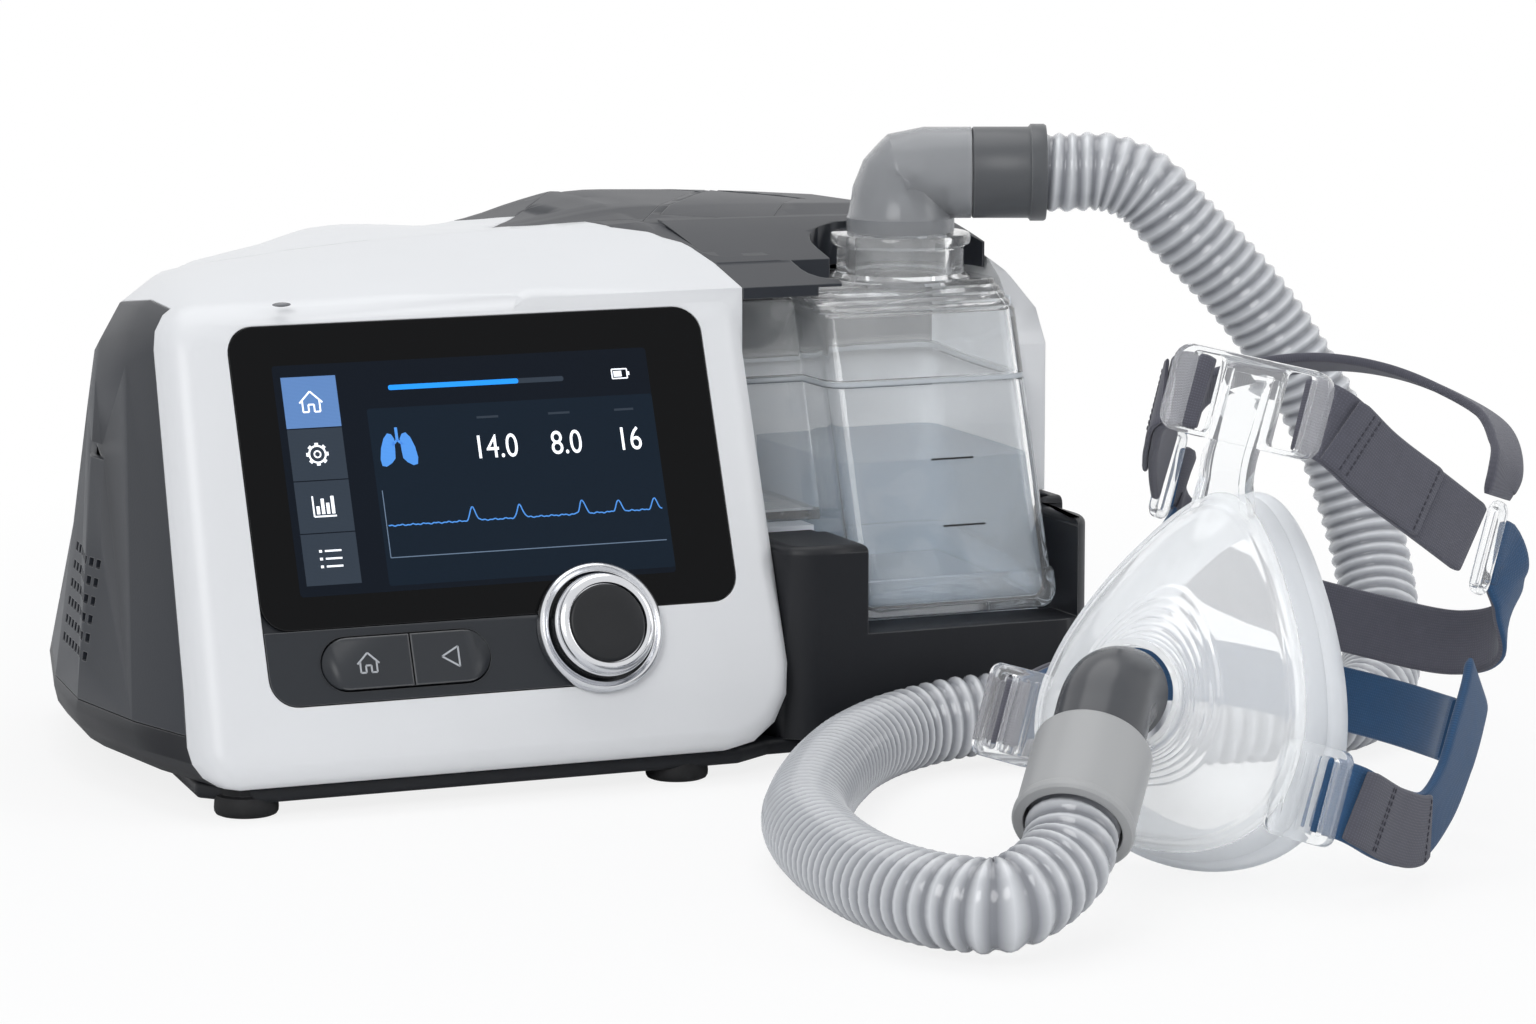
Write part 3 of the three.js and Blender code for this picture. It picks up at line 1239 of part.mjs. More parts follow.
const clipSolid = (side) => {
  const near = side * clipX * 0.86;
  const end = side * (clipX + clipLong);
  const bar = box(Math.min(near, end), Math.max(near, end), clipY - clipThick / 2, clipY + clipThick / 2,
    clipZ - clipHigh / 2, clipZ + clipHigh / 2);
  const slotFrom = side * (clipX + clipLong - clipSlot * 2);
  const slotTo = side * (clipX + clipLong - clipSlot);
  const half = strapWide / 2 + runningGap;
  return bar.subtract(box(Math.min(slotFrom, slotTo), Math.max(slotFrom, slotTo), -maskBeyond, maskBeyond,
    clipZ - half, clipZ + half));
};
addPiece('mask_frame', unite(frameShell, clipSolid(-1), clipSolid(1)), clear, maskGroup);
const frameClear = solid(loft(frame_shares.slice(0, 3).map(([depth, scale, blend]) =>
  frameRing(depth, scale, blend, -seatGap))));
const foreheadSupport = solid(armSpan).add(crossbar)
  .subtract(slotAt(1))
  .subtract(slotAt(-1))
  .subtract(frameClear)
  .intersect(box(-maskBeyond, maskBeyond, -maskBeyond, frameBack, -maskBeyond, maskBeyond));
addPiece('forehead_support', foreheadSupport, clear, maskGroup);

// Mask elbow and the collar on the hose's other end
const portCentre = maskGroup.localToWorld(new THREE.Vector3(0, portFace, -portDrop));
const portAxis = new THREE.Vector3(0, -1, 0).applyEuler(maskGroup.rotation);
const maskArmAxis = new THREE.Vector3(Math.cos(maskArmHeading) * Math.cos(maskArmDip),
  Math.sin(maskArmHeading) * Math.cos(maskArmDip), -Math.sin(maskArmDip));
const maskCorner = portCentre.clone().addScaledVector(portAxis, maskElbowReach);
const elbowBend = maskElbowReach * 0.8;
const collarStart = maskArm - collarLength;
function maskElbow(radius, extra) {
  const from = portCentre.clone().addScaledVector(portAxis, seatGap - extra);
  const bend = new THREE.QuadraticBezierCurve3(
    maskCorner.clone().addScaledVector(portAxis, -elbowBend), maskCorner,
    maskCorner.clone().addScaledVector(maskArmAxis, elbowBend));
  const end = maskCorner.clone().addScaledVector(maskArmAxis, collarStart - seatGap + extra);
  return solid(loft(tubeRings([from, ...bend.getPoints(4), end], radius, 12)));
}
const maskElbowBore = maskElbow(maskElbowRadius - maskElbowWall, overrun);
addPiece('mask_elbow', maskElbow(maskElbowRadius, 0).subtract(maskElbowBore), cuffGrey);
addPiece('hose_collar', moved(cuffSolid({
  sleeve: collarRadius, rim: collarRadius + collarRimOut, rimLength: collarRimLength, length: collarLength,
  socket: collarSocket, bore: cuffBore, room: socketRoom,
}), alongAxis(maskCorner.clone().addScaledVector(maskArmAxis, collarStart), maskArmAxis)), collarGrey);
const mouth = maskCorner.clone().addScaledVector(maskArmAxis, maskArm);
const collarSeat = mouth.clone().addScaledVector(maskArmAxis, seatGap - collarSocket);
const straightEnd = collarSeat.clone().addScaledVector(maskArmAxis, hoseRadius * 2);
console.log('hose seat in the collar', collarSeat.toArray().map((n) => n.toFixed(2)));
console.log('straight end', straightEnd.toArray().map((n) => n.toFixed(2)));

// Headgear: stations as shares of the head span, in the mask's frame
const upperStrap_shares = [
  [0.13, -0.198, 0.68], [0.18, -0.198, 0.68], [0.23, -0.18, 0.665],
  [0.295, -0.06, 0.61], [0.375, 0.14, 0.555], [0.439, 0.328, 0.507],
];
const crownStrap_shares = [
  [0.46, 0.37, 0.628], [0.46, 0.371, 0.67], [0.44, 0.41, 0.73], [0.35, 0.49, 0.82],
  [0.18, 0.55, 0.875], [0, 0.57, 0.9], [-0.18, 0.56, 0.885], [-0.34, 0.51, 0.82],
  [-0.44, 0.43, 0.73], [-0.46, 0.4, 0.67], [-0.46, 0.399, 0.628],
];
const backBand_shares = [
  [0.46, 0.457, 0.495], [0.461, 0.5, 0.495], [0.474, 0.57, 0.41], [0.45, 0.64, 0.31], [0.32, 0.71, 0.26],
  [0.05, 0.75, 0.25], [-0.24, 0.74, 0.26], [-0.43, 0.68, 0.3], [-0.49, 0.58, 0.4], [-0.461, 0.5, 0.495],
  [-0.46, 0.457, 0.495],
];
const lowerRight_shares = [
  [0.4, -0.166, -0.21], [0.5, -0.15, -0.215], [0.54, 0.02, -0.24], [0.56, 0.17, -0.23],
  [0.555, 0.29, -0.13], [0.535, 0.37, 0], [0.505, 0.45, 0.11], [0.485, 0.49, 0.17],
];
const lowerRightAcross_shares = [
  [0, 0, 1], [0, 0, 1], [0, 0, 1], [0, -0.35, 1], [0, -0.8, 0.6], [0, -1, 0.3], [0, -1, 0.4], [0, -1, 0.4],
];
const lowerLeft_shares = [
  [-0.4, -0.166, -0.21], [-0.5, -0.15, -0.215], [-0.55, 0.05, -0.21], [-0.56, 0.3, -0.13], [-0.5, 0.54, -0.03],
  [-0.33, 0.7, 0.03], [-0.08, 0.77, 0.045], [0.17, 0.73, 0.045], [0.36, 0.61, 0.035], [0.445, 0.48, 0.03],
];
const spanned = (shares) => shares.map(([x, y, z]) => new THREE.Vector3(x, y, z).multiplyScalar(headSpan));
const directions = (shares) => shares.map(([x, y, z]) => new THREE.Vector3(x, y, z));
const mirrored = (shares) => shares.map(([x, y, z]) => [-x, y, z]);
const upright = directions([[0, 0, 1], [0, 0, 1]]);
const lengthwise = directions([[0, 1, 0], [0, 1, 0]]);
const backWide = 17;
const narrowWide = strapWide - strapThick;
const strap = (name, shares, across, wide, steps, colour) =>
  addPiece(name, band(spanned(shares), across, wide, strapThick, steps), colour, maskGroup);
strap('upper_strap_right', upperStrap_shares, upright, strapWide, 10, strapGrey);
strap('upper_strap_left', mirrored(upperStrap_shares), upright, strapWide, 10, strapGrey);
strap('crown_strap', crownStrap_shares, lengthwise, narrowWide, 16, strapGrey);
strap('headgear_back', backBand_shares, upright, backWide, 20, strapGrey);
strap('lower_strap_right', lowerRight_shares, directions(lowerRightAcross_shares), strapWide, 14, strapBlue);
strap('lower_strap_left', lowerLeft_shares, upright, narrowWide, 20, strapBlue);

const loopBar = 2.4;
const loopLong = 10;
const loopHigh = strapWide + loopBar * 2 + runningGap * 2;
const loopCentre_shares = [0.46, 0.4, 0.5];
for (const [name, side] of [['right', 1], ['left', -1]]) {
  const halfLong = loopLong / 2;
  const halfHigh = loopHigh / 2;
  const outline = outlinePoints(roundedRect(-halfLong, halfLong, -halfHigh, halfHigh, loopBar), 2);
  const opening = box(-halfLong + loopBar, halfLong - loopBar, -halfHigh + loopBar, halfHigh - loopBar,
    -overrun, overrun);
  const loopShape = prism(outline, -loopBar / 2, loopBar / 2).subtract(opening);
  const turn = new THREE.Matrix4().makeBasis(
    new THREE.Vector3(0, 1, 0), new THREE.Vector3(0, 0, 1), new THREE.Vector3(1, 0, 0));
  const [x, y, z] = loopCentre_shares.map((share) => share * headSpan);
  const loopPiece = addPiece(`strap_loop_${name}`, moved(loopShape, turn), collarGrey, maskGroup);
  loopPiece.position.set(side * x, y, z);
}

// The origin is on the floor, under the middle of everything but the hose and its two sleeves
const cordPieces = ['outlet_cuff', 'hose', 'hose_collar'];
part.updateMatrixWorld(true);
const extent = new THREE.Box3();
part.traverse((node) => {
  if (node.isMesh && !cordPieces.includes(node.name)) extent.expandByObject(node, true);
});
const middle = extent.getCenter(new THREE.Vector3());
for (const child of part.children) child.position.sub(new THREE.Vector3(middle.x, middle.y, 0));
console.log('origin moved by', middle.x.toFixed(3), middle.y.toFixed(3));

export default part;
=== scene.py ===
import bpy
import bmesh
from math import cos, exp, pi, radians, sin, sqrt
from mathutils import Matrix, Vector


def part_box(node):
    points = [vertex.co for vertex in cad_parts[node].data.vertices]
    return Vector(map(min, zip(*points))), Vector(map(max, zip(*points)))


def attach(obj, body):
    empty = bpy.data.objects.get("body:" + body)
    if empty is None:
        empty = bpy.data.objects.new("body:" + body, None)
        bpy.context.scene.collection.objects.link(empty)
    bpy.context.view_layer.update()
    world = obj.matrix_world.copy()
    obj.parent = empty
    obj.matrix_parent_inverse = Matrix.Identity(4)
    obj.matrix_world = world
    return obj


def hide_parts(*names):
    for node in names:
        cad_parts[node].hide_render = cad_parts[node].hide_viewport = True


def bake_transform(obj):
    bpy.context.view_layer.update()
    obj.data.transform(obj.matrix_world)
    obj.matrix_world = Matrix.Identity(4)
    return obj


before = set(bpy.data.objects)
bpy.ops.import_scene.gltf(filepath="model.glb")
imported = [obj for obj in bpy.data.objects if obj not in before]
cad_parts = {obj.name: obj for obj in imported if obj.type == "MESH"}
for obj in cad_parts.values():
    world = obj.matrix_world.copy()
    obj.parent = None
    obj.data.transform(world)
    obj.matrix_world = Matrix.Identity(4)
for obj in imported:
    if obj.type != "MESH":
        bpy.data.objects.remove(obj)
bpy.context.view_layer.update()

# Camera, floor and light
# A plain studio: pale floor and backdrop, one big soft light from the front left,
# a fill from the right and a wide one overhead.
looking_down = 8.637             # degrees
turned_right = 23.252
camera_data = bpy.data.cameras.new("camera")
camera_data.lens = 125.92
camera_data.sensor_width = 36
camera_data.clip_start = 0.05
camera = bpy.data.objects.new("camera", camera_data)
camera.location = (-0.555131, -1.310282, 0.29113)
camera.rotation_euler = (radians(90 - looking_down), 0, -radians(turned_right))
bpy.context.collection.objects.link(camera)
bpy.context.scene.camera = camera
bpy.context.scene.view_settings.view_transform = "Standard"


def wired(tree, pairs):
    """Joins sockets of a node tree, each pair as (from, to)."""
    for source, target in pairs:
        tree.links.new(source, target)


world = bpy.data.worlds.new("studio")
bpy.context.scene.world = world
world.use_nodes = True
sky = world.node_tree
sky.nodes.clear()
sky_out = sky.nodes.new("ShaderNodeOutputWorld")
sky_mix = sky.nodes.new("ShaderNodeMixShader")
sky_soft = sky.nodes.new("ShaderNodeBackground")
sky_soft.inputs["Color"].default_value = (0.86, 0.9, 0.96, 1)
sky_soft.inputs["Strength"].default_value = 0.45
sky_white = sky.nodes.new("ShaderNodeBackground")
sky_white.inputs["Color"].default_value = (1, 1, 1, 1)
sky_path = sky.nodes.new("ShaderNodeLightPath")
sky_seen = sky.nodes.new("ShaderNodeMath")
sky_seen.operation = "MAXIMUM"
sky_clear = sky.nodes.new("ShaderNodeMath")
sky_clear.operation = "MAXIMUM"
wired(sky, (
    (sky_path.outputs["Is Camera Ray"], sky_seen.inputs[0]),
    (sky_path.outputs["Is Transmission Ray"], sky_seen.inputs[1]),
    (sky_seen.outputs[0], sky_clear.inputs[0]),
    (sky_path.outputs["Is Glossy Ray"], sky_clear.inputs[1]),
    (sky_clear.outputs[0], sky_mix.inputs[0]),
    (sky_soft.outputs[0], sky_mix.inputs[1]),
    (sky_white.outputs[0], sky_mix.inputs[2]),
    (sky_mix.outputs[0], sky_out.inputs["Surface"]),
))

for name, place, aim, size, power in (
    ("key_light", (-1.5, -1.7, 1.5), (0, 0, 0.05), 1.4, 25),
    ("fill_light", (1.9, -1.3, 0.9), (0.05, 0, 0.05), 1.4, 10),
    ("top_light", (0.1, 0.4, 2.0), (0, 0, 0), 1.8, 15),
):
    lamp_data = bpy.data.lights.new(name, "AREA")
    lamp_data.shape = "DISK"
    lamp_data.size = size
    lamp_data.energy = power
    lamp = bpy.data.objects.new(name, lamp_data)
    lamp.location = place
    lamp.rotation_euler = (Vector(aim) - Vector(place)).to_track_quat("-Z", "Y").to_euler()
    bpy.context.collection.objects.link(lamp)


def fresh_paint(name):
    """A new material, with its node tree and its shader."""
    paint = bpy.data.materials.new(name)
    paint.use_nodes = True
    return paint, paint.node_tree, paint.node_tree.nodes["Principled BSDF"]


bpy.ops.object.select_all(action="DESELECT")
bpy.ops.mesh.primitive_plane_add(size=30, location=(0, 0, -0.0002))
floor = bpy.context.object
floor.name = "floor"
floor_paint, floor_nodes, floor_body = fresh_paint("floor_paint")
floor_body.inputs["Base Color"].default_value = (0.9, 0.9, 0.9, 1)
floor_body.inputs["Roughness"].default_value = 0.9
floor_glow = floor_nodes.nodes.new("ShaderNodeEmission")
floor_path = floor_nodes.nodes.new("ShaderNodeLightPath")
floor_seen = floor_nodes.nodes.new("ShaderNodeMath")
floor_seen.operation = "MAXIMUM"
floor_share = floor_nodes.nodes.new("ShaderNodeMath")
floor_share.operation = "MULTIPLY"
floor_place = floor_nodes.nodes.new("ShaderNodeTexCoord")
floor_far = floor_nodes.nodes.new("ShaderNodeVectorMath")
floor_far.operation = "LENGTH"
floor_even = floor_nodes.nodes.new("ShaderNodeMapRange")
floor_even.inputs["From Min"].default_value = 0.2
floor_even.inputs["From Max"].default_value = 0.6
floor_even.inputs["To Min"].default_value = 0.84
floor_mix = floor_nodes.nodes.new("ShaderNodeMixShader")
wired(floor_nodes, (
    (floor_place.outputs["Object"], floor_far.inputs[0]),
    (floor_far.outputs["Value"], floor_even.inputs["Value"]),
    (floor_even.outputs[0], floor_share.inputs[1]),
    (floor_path.outputs["Is Camera Ray"], floor_seen.inputs[0]),
    (floor_path.outputs["Is Transmission Ray"], floor_seen.inputs[1]),
    (floor_seen.outputs[0], floor_share.inputs[0]),
    (floor_share.outputs[0], floor_mix.inputs[0]),
    (floor_body.outputs[0], floor_mix.inputs[1]),
    (floor_glow.outputs[0], floor_mix.inputs[2]),
    (floor_mix.outputs[0], floor_nodes.nodes["Material Output"].inputs["Surface"]),
))
floor.data.materials.append(floor_paint)

# Ribbed air hose
# A thin springy tube of translucent plastic with a stiffer light rib wound round it.
# It is moulded in one length and pushed into a sleeve at each end.
machine = Vector((-0.067511, 0.003078, 0))      # where the machine's own zero point stands


def smooth_route(points, spacing):
    """Even points along a centripetal curve through the given ones."""
    ends = [points[0] * 2 - points[1]] + list(points) + [points[-1] * 2 - points[-2]]
    fine = []
    for a, b, c, d in zip(ends, ends[1:], ends[2:], ends[3:]):
        t1 = max((b - a).length, 1e-9) ** 0.5
        t2 = t1 + max((c - b).length, 1e-9) ** 0.5
        t3 = t2 + max((d - c).length, 1e-9) ** 0.5
        for step in range(24):
            t = t1 + (t2 - t1) * step / 24
            ab = a * ((t1 - t) / t1) + b * (t / t1)
            bc = b * ((t2 - t) / (t2 - t1)) + c * ((t - t1) / (t2 - t1))
            cd = c * ((t3 - t) / (t3 - t2)) + d * ((t - t2) / (t3 - t2))
            abc = ab * ((t2 - t) / t2) + bc * (t / t2)
            bcd = bc * ((t3 - t) / (t3 - t1)) + cd * ((t - t1) / (t3 - t1))
            fine.append(abc * ((t2 - t) / (t2 - t1)) + bcd * ((t - t1) / (t2 - t1)))
    fine.append(points[-1].copy())
    run = [0.0]
    for a, b in zip(fine, fine[1:]):
        run.append(run[-1] + (b - a).length)
    count = max(int(round(run[-1] / spacing)), 1)
    even, k = [], 0
    for i in range(count + 1):
        want = run[-1] * i / count
        while k < len(run) - 2 and run[k + 1] < want:
            k += 1
        share = (want - run[k]) / max(run[k + 1] - run[k], 1e-12)
        even.append(fine[k].lerp(fine[k + 1], share))
    return even, run[-1]


def way_at(line, i):
    """The direction of a line of points at the one numbered i."""
    return (line[min(i + 1, len(line) - 1)] - line[max(i - 1, 0)]).normalized()


hose_route = [machine + Vector(p) for p in (
    (0.1827, 0.0609, 0.157), (0.1882, 0.0586, 0.157), (0.1937, 0.0562, 0.157), (0.2039, 0.0519, 0.157),
    (0.214, 0.0476, 0.1525), (0.223, 0.044, 0.1425), (0.233, 0.041, 0.132), (0.2422, 0.0385, 0.1215),
    (0.251, 0.0365, 0.11), (0.259, 0.034, 0.097), (0.2655, 0.031, 0.0835), (0.271, 0.0265, 0.0655),
    (0.273, 0.0185, 0.047), (0.27, 0.007, 0.031), (0.2615, -0.008, 0.0185), (0.247, -0.022, 0.0124),
    (0.228, -0.03, 0.0118), (0.207, -0.031, 0.0118), (0.186, -0.0255, 0.0118), (0.168, -0.015, 0.0124),
    (0.151, -0.007, 0.0144), (0.134, -0.0038, 0.0144), (0.114, -0.0065, 0.0124), (0.0938, -0.0225, 0.0118),
    (0.072, -0.051, 0.0118), (0.0543, -0.08, 0.0118), (0.0424, -0.104, 0.0118), (0.0348, -0.131, 0.0118),
    (0.0312, -0.155, 0.0118), (0.0298, -0.175, 0.0122), (0.031, -0.193, 0.0128), (0.0355, -0.207, 0.0133),
    (0.044, -0.216, 0.0142), (0.06154, -0.2101, 0.02094), (0.0676, -0.20289, 0.02753),
    (0.07365, -0.19567, 0.03413),
)]
hose_pitch = 0.0042
hose_core = 0.0101               # outer radius between the ribs
hose_rise = 0.00125              # the rib stands out this far
hose_wall = 0.0011
hose_rib = (0.0, 0.35, 0.85, 1.0, 0.85, 0.35)      # height of the rib over one turn, as a share
hose_steps = len(hose_rib)
hose_line, hose_length = smooth_route(hose_route, hose_pitch / hose_steps)
hose_sides = 28
hose_mesh = bmesh.new()
hose_uv = hose_mesh.loops.layers.uv.new("hose")
side = Vector((0, 0, 1)).cross(hose_line[1] - hose_line[0]).normalized()
hose_rings = []
for i, point in enumerate(hose_line):
    along = way_at(hose_line, i)
    side = (side - along * side.dot(along)).normalized()
    up = side.cross(along)
    hose_rings.append([point, side.copy(), up.copy()])


def hose_radius(index, turn, wall):
    """Radius at a ring, with the rib winding round the tube as a screw."""
    phase = (index / hose_steps - turn) % 1 * hose_steps
    low, part = int(phase) % hose_steps, phase % 1
    height = hose_rib[low] * (1 - part) + hose_rib[(low + 1) % hose_steps] * part
    calm = min(index, len(hose_line) - 1 - index) / 8      # the rib runs out at both ends
    return hose_core - wall + hose_rise * height * min(calm, 1)


def hose_skin(wall, step):
    """One wall of the tube, as rings of vertices with the place of each along the hose."""
    places = list(range(0, len(hose_line) - 1, step)) + [len(hose_line) - 1]
    skin = []
    for i in places:
        point, across, upward = hose_rings[i]
        ring = []
        for j in range(hose_sides):
            angle = 2 * pi * j / hose_sides
            size = hose_radius(i, j / hose_sides, wall) if wall == 0 else hose_core - wall
            spot = point + across * (size * cos(angle)) + upward * (size * sin(angle))
            ring.append(hose_mesh.verts.new(spot))
        skin.append((i, ring))
    return skin


hose_outer = hose_skin(0, 1)
hose_inner = hose_skin(hose_wall, hose_steps)
for skin, flip in ((hose_outer, False), (hose_inner, True)):
    for (i, low), (k, high) in zip(skin, skin[1:]):
        for j in range(hose_sides):
            n = (j + 1) % hose_sides
            corners = [(low[j], i, j), (low[n], i, j + 1), (high[n], k, j + 1), (high[j], k, j)]
            if not flip:
                corners.reverse()
            face = hose_mesh.faces.new([c[0] for c in corners])
            for loop, (vertex, row, column) in zip(face.loops, corners):
                loop[hose_uv].uv = (row / hose_steps - column / hose_sides, column / hose_sides)
            face.smooth = True
for end, flip in ((0, False), (-1, True)):
    one, other = hose_outer[end][1], hose_inner[end][1]
    for j in range(hose_sides):
        n = (j + 1) % hose_sides
        corners = [one[j], one[n], other[n], other[j]]
        if flip:
            corners.reverse()
        hose_mesh.faces.new(corners)
bmesh.ops.recalc_face_normals(hose_mesh, faces=hose_mesh.faces)


def put_down(name, mesh):
    """The finished mesh as an object of the scene."""
    data = bpy.data.meshes.new(name)
    mesh.to_mesh(data)
    mesh.free()
    piece = bpy.data.objects.new(name, data)
    bpy.context.collection.objects.link(piece)
    return piece


air_hose = put_down("air_hose", hose_mesh)
hose_plastic, tree, body = fresh_paint("hose_plastic")
hose_uvs = tree.nodes.new("ShaderNodeUVMap")
hose_uvs.uv_map = "hose"
hose_turns = tree.nodes.new("ShaderNodeSeparateXYZ")
hose_turn = tree.nodes.new("ShaderNodeMath")
hose_turn.operation = "FRACT"
# The colour runs from dark between the turns to pale on the rib's crest: the light rib's own colour, with a
# painted highlight on the crest and painted shade between the turns.
rib_highlight_and_shade = tree.nodes.new("ShaderNodeValToRGB")
rib_highlight_and_shade.color_ramp.elements[0].position = 0.1
rib_highlight_and_shade.color_ramp.elements[0].color = (0.33, 0.34, 0.37, 1)
rib_highlight_and_shade.color_ramp.elements[1].position = 0.5
rib_highlight_and_shade.color_ramp.elements[1].color = (0.94, 0.955, 0.98, 1)
between_turns_shade = rib_highlight_and_shade.color_ramp.elements.new(0.92)
between_turns_shade.color = (0.34, 0.35, 0.38, 1)
wired(tree, (
    (hose_uvs.outputs[0], hose_turns.inputs[0]),
    (hose_turns.outputs["X"], hose_turn.inputs[0]),
    (hose_turn.outputs[0], rib_highlight_and_shade.inputs[0]),
    (rib_highlight_and_shade.outputs[0], body.inputs["Base Color"]),
))
body.inputs["Roughness"].default_value = 0.24
body.inputs["Transmission Weight"].default_value = 0.36
body.inputs["IOR"].default_value = 1.36
body.inputs["Coat Weight"].default_value = 0.6
air_hose.data.materials.append(hose_plastic)
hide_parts("hose")
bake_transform(air_hose)

# White front shell
# The rim round the controls and the white part of the top are one moulding in satin ABS.
# It snaps over the edges of the darker shells behind it.
skin_group = bpy.data.node_groups.new("moulded_skin", "ShaderNodeTree")
for label, kind, default in (
    ("Colour", "NodeSocketColor", (0.8, 0.8, 0.8, 1)), ("Roughness", "NodeSocketFloat", 0.4),
    ("Grain Scale", "NodeSocketFloat", 2500), ("Grain Depth", "NodeSocketFloat", 0.05),
    ("Edge", "NodeSocketFloat", 0.0005), ("Edge Highlight", "NodeSocketFloat", 0.08),
):
    skin_socket = skin_group.interface.new_socket(label, in_out="INPUT", socket_type=kind)
    skin_socket.default_value = default
skin_results = (("Colour", "NodeSocketColor"), ("Roughness", "NodeSocketFloat"),
                ("Normal", "NodeSocketVector"))
for label, kind in skin_results:
    skin_group.interface.new_socket(label, in_out="OUTPUT", socket_type=kind)
tree = skin_group
skin_in = tree.nodes.new("NodeGroupInput")
skin_out = tree.nodes.new("NodeGroupOutput")
skin_place = tree.nodes.new("ShaderNodeTexCoord")
skin_grain = tree.nodes.new("ShaderNodeTexNoise")
skin_grain.inputs["Detail"].default_value = 2
skin_cloud = tree.nodes.new("ShaderNodeTexNoise")
skin_cloud.inputs["Scale"].default_value = 22
skin_cloud.inputs["Detail"].default_value = 3
skin_round = tree.nodes.new("ShaderNodeBevel")
skin_round.samples = 6
skin_bump = tree.nodes.new("ShaderNodeBump")
skin_bump.inputs["Distance"].default_value = 0.0002
skin_face = tree.nodes.new("ShaderNodeNewGeometry")
skin_dot = tree.nodes.new("ShaderNodeVectorMath")
skin_dot.operation = "DOT_PRODUCT"
# Where the rounded normal turns from the face's own, the colour is mixed toward white: a painted highlight
# on the edges.
skin_edge = tree.nodes.new("ShaderNodeMapRange")
skin_edge.inputs["From Min"].default_value = 0.995
skin_edge.inputs["From Max"].default_value = 0.85
skin_gain = tree.nodes.new("ShaderNodeMath")
skin_gain.operation = "MULTIPLY"
skin_edge_highlight = tree.nodes.new("ShaderNodeMix")
skin_edge_highlight.data_type = "RGBA"
skin_edge_highlight.inputs[7].default_value = (1, 1, 1, 1)
skin_shade = tree.nodes.new("ShaderNodeMapRange")
skin_shade.inputs["To Min"].default_value = 0.965
skin_shade.inputs["To Max"].default_value = 1.02
skin_tone = tree.nodes.new("ShaderNodeVectorMath")
skin_tone.operation = "SCALE"
skin_rough = tree.nodes.new("ShaderNodeMath")
skin_rough.operation = "MULTIPLY_ADD"
skin_rough.inputs[1].default_value = 0.08
wired(tree, (
    (skin_place.outputs["Object"], skin_grain.inputs["Vector"]),
    (skin_place.outputs["Object"], skin_cloud.inputs["Vector"]),
    (skin_in.outputs["Grain Scale"], skin_grain.inputs["Scale"]),
    (skin_in.outputs["Edge"], skin_round.inputs["Radius"]),
    (skin_grain.outputs["Fac"], skin_bump.inputs["Height"]),
    (skin_in.outputs["Grain Depth"], skin_bump.inputs["Strength"]),
    (skin_round.outputs[0], skin_bump.inputs["Normal"]),
    (skin_round.outputs[0], skin_dot.inputs[0]),
    (skin_face.outputs["Normal"], skin_dot.inputs[1]),
    (skin_dot.outputs["Value"], skin_edge.inputs["Value"]),
    (skin_edge.outputs[0], skin_gain.inputs[0]),
    (skin_in.outputs["Edge Highlight"], skin_gain.inputs[1]),
    (skin_cloud.outputs["Fac"], skin_shade.inputs["Value"]),
    (skin_in.outputs["Colour"], skin_tone.inputs[0]),
    (skin_shade.outputs[0], skin_tone.inputs["Scale"]),
    (skin_tone.outputs[0], skin_edge_highlight.inputs[6]),
    (skin_gain.outputs[0], skin_edge_highlight.inputs[0]),
    (skin_cloud.outputs["Fac"], skin_rough.inputs[0]),
    (skin_in.outputs["Roughness"], skin_rough.inputs[2]),
    (skin_edge_highlight.outputs[2], skin_out.inputs["Colour"]),
    (skin_rough.outputs[0], skin_out.inputs["Roughness"]),
    (skin_bump.outputs[0], skin_out.inputs["Normal"]),
))


def finished(name, group):
    """A new material that takes its colour, roughness and relief from a shared node group."""
    paint, nodes, shader = fresh_paint(name)
    skin = nodes.nodes.new("ShaderNodeGroup")
    skin.node_tree = group
    wired(nodes, (
        (skin.outputs["Colour"], shader.inputs["Base Color"]),
        (skin.outputs["Roughness"], shader.inputs["Roughness"]),
        (skin.outputs["Normal"], shader.inputs["Normal"]),
    ))
    return paint, skin, shader


def moulded(name, colour, roughness, grain=0.05, scale=2500, edge=0.0005, light=0.08, gloss=0.3):
    """A moulded plastic: fine grain, faint mottling, and a painted highlight that lightens its rounded
    edges.
    """
    paint, skin, shader = finished(name, skin_group)
    skin.inputs["Colour"].default_value = (*colour, 1)
    skin.inputs["Roughness"].default_value = roughness - 0.04
    skin.inputs["Grain Scale"].default_value = scale
    skin.inputs["Grain Depth"].default_value = grain
    skin.inputs["Edge"].default_value = edge
    # light sets the strength of the painted edge highlight
    skin.inputs["Edge Highlight"].default_value = light
    shader.inputs["Specular IOR Level"].default_value = gloss
    return paint


def chosen(piece):
    """Leaves the piece alone selected, for the operators that follow."""
    bpy.ops.object.select_all(action="DESELECT")
    piece.select_set(True)
    bpy.context.view_layer.objects.active = piece


def smooth_copy(name, node, body_name, paint, angle=44):
    """The moulded solid with its doubles merged and its curves shaded smooth, in place of the node."""
    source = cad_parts[node]
    piece = bpy.data.objects.new(name, source.data.copy())
    bpy.context.collection.objects.link(piece)
    chosen(piece)
    bpy.ops.object.mode_set(mode="EDIT")
    bpy.ops.mesh.select_all(action="SELECT")
    bpy.ops.mesh.remove_doubles(threshold=0.00001)
    bpy.ops.mesh.dissolve_limited(angle_limit=radians(0.5))
    bpy.ops.object.mode_set(mode="OBJECT")
    bpy.ops.object.shade_smooth_by_angle(angle=radians(angle))
    piece.data.materials.clear()
    piece.data.materials.append(paint)
    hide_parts(node)
    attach(piece, body_name)
    return piece


white_abs = moulded("white_abs", (0.78, 0.785, 0.795), 0.34, grain=0.03, gloss=0.45)
front_cover = smooth_copy("front_cover", "front_shell", "housing", white_abs)
white_flank = smooth_copy("white_flank", "right_shell", "housing", white_abs)

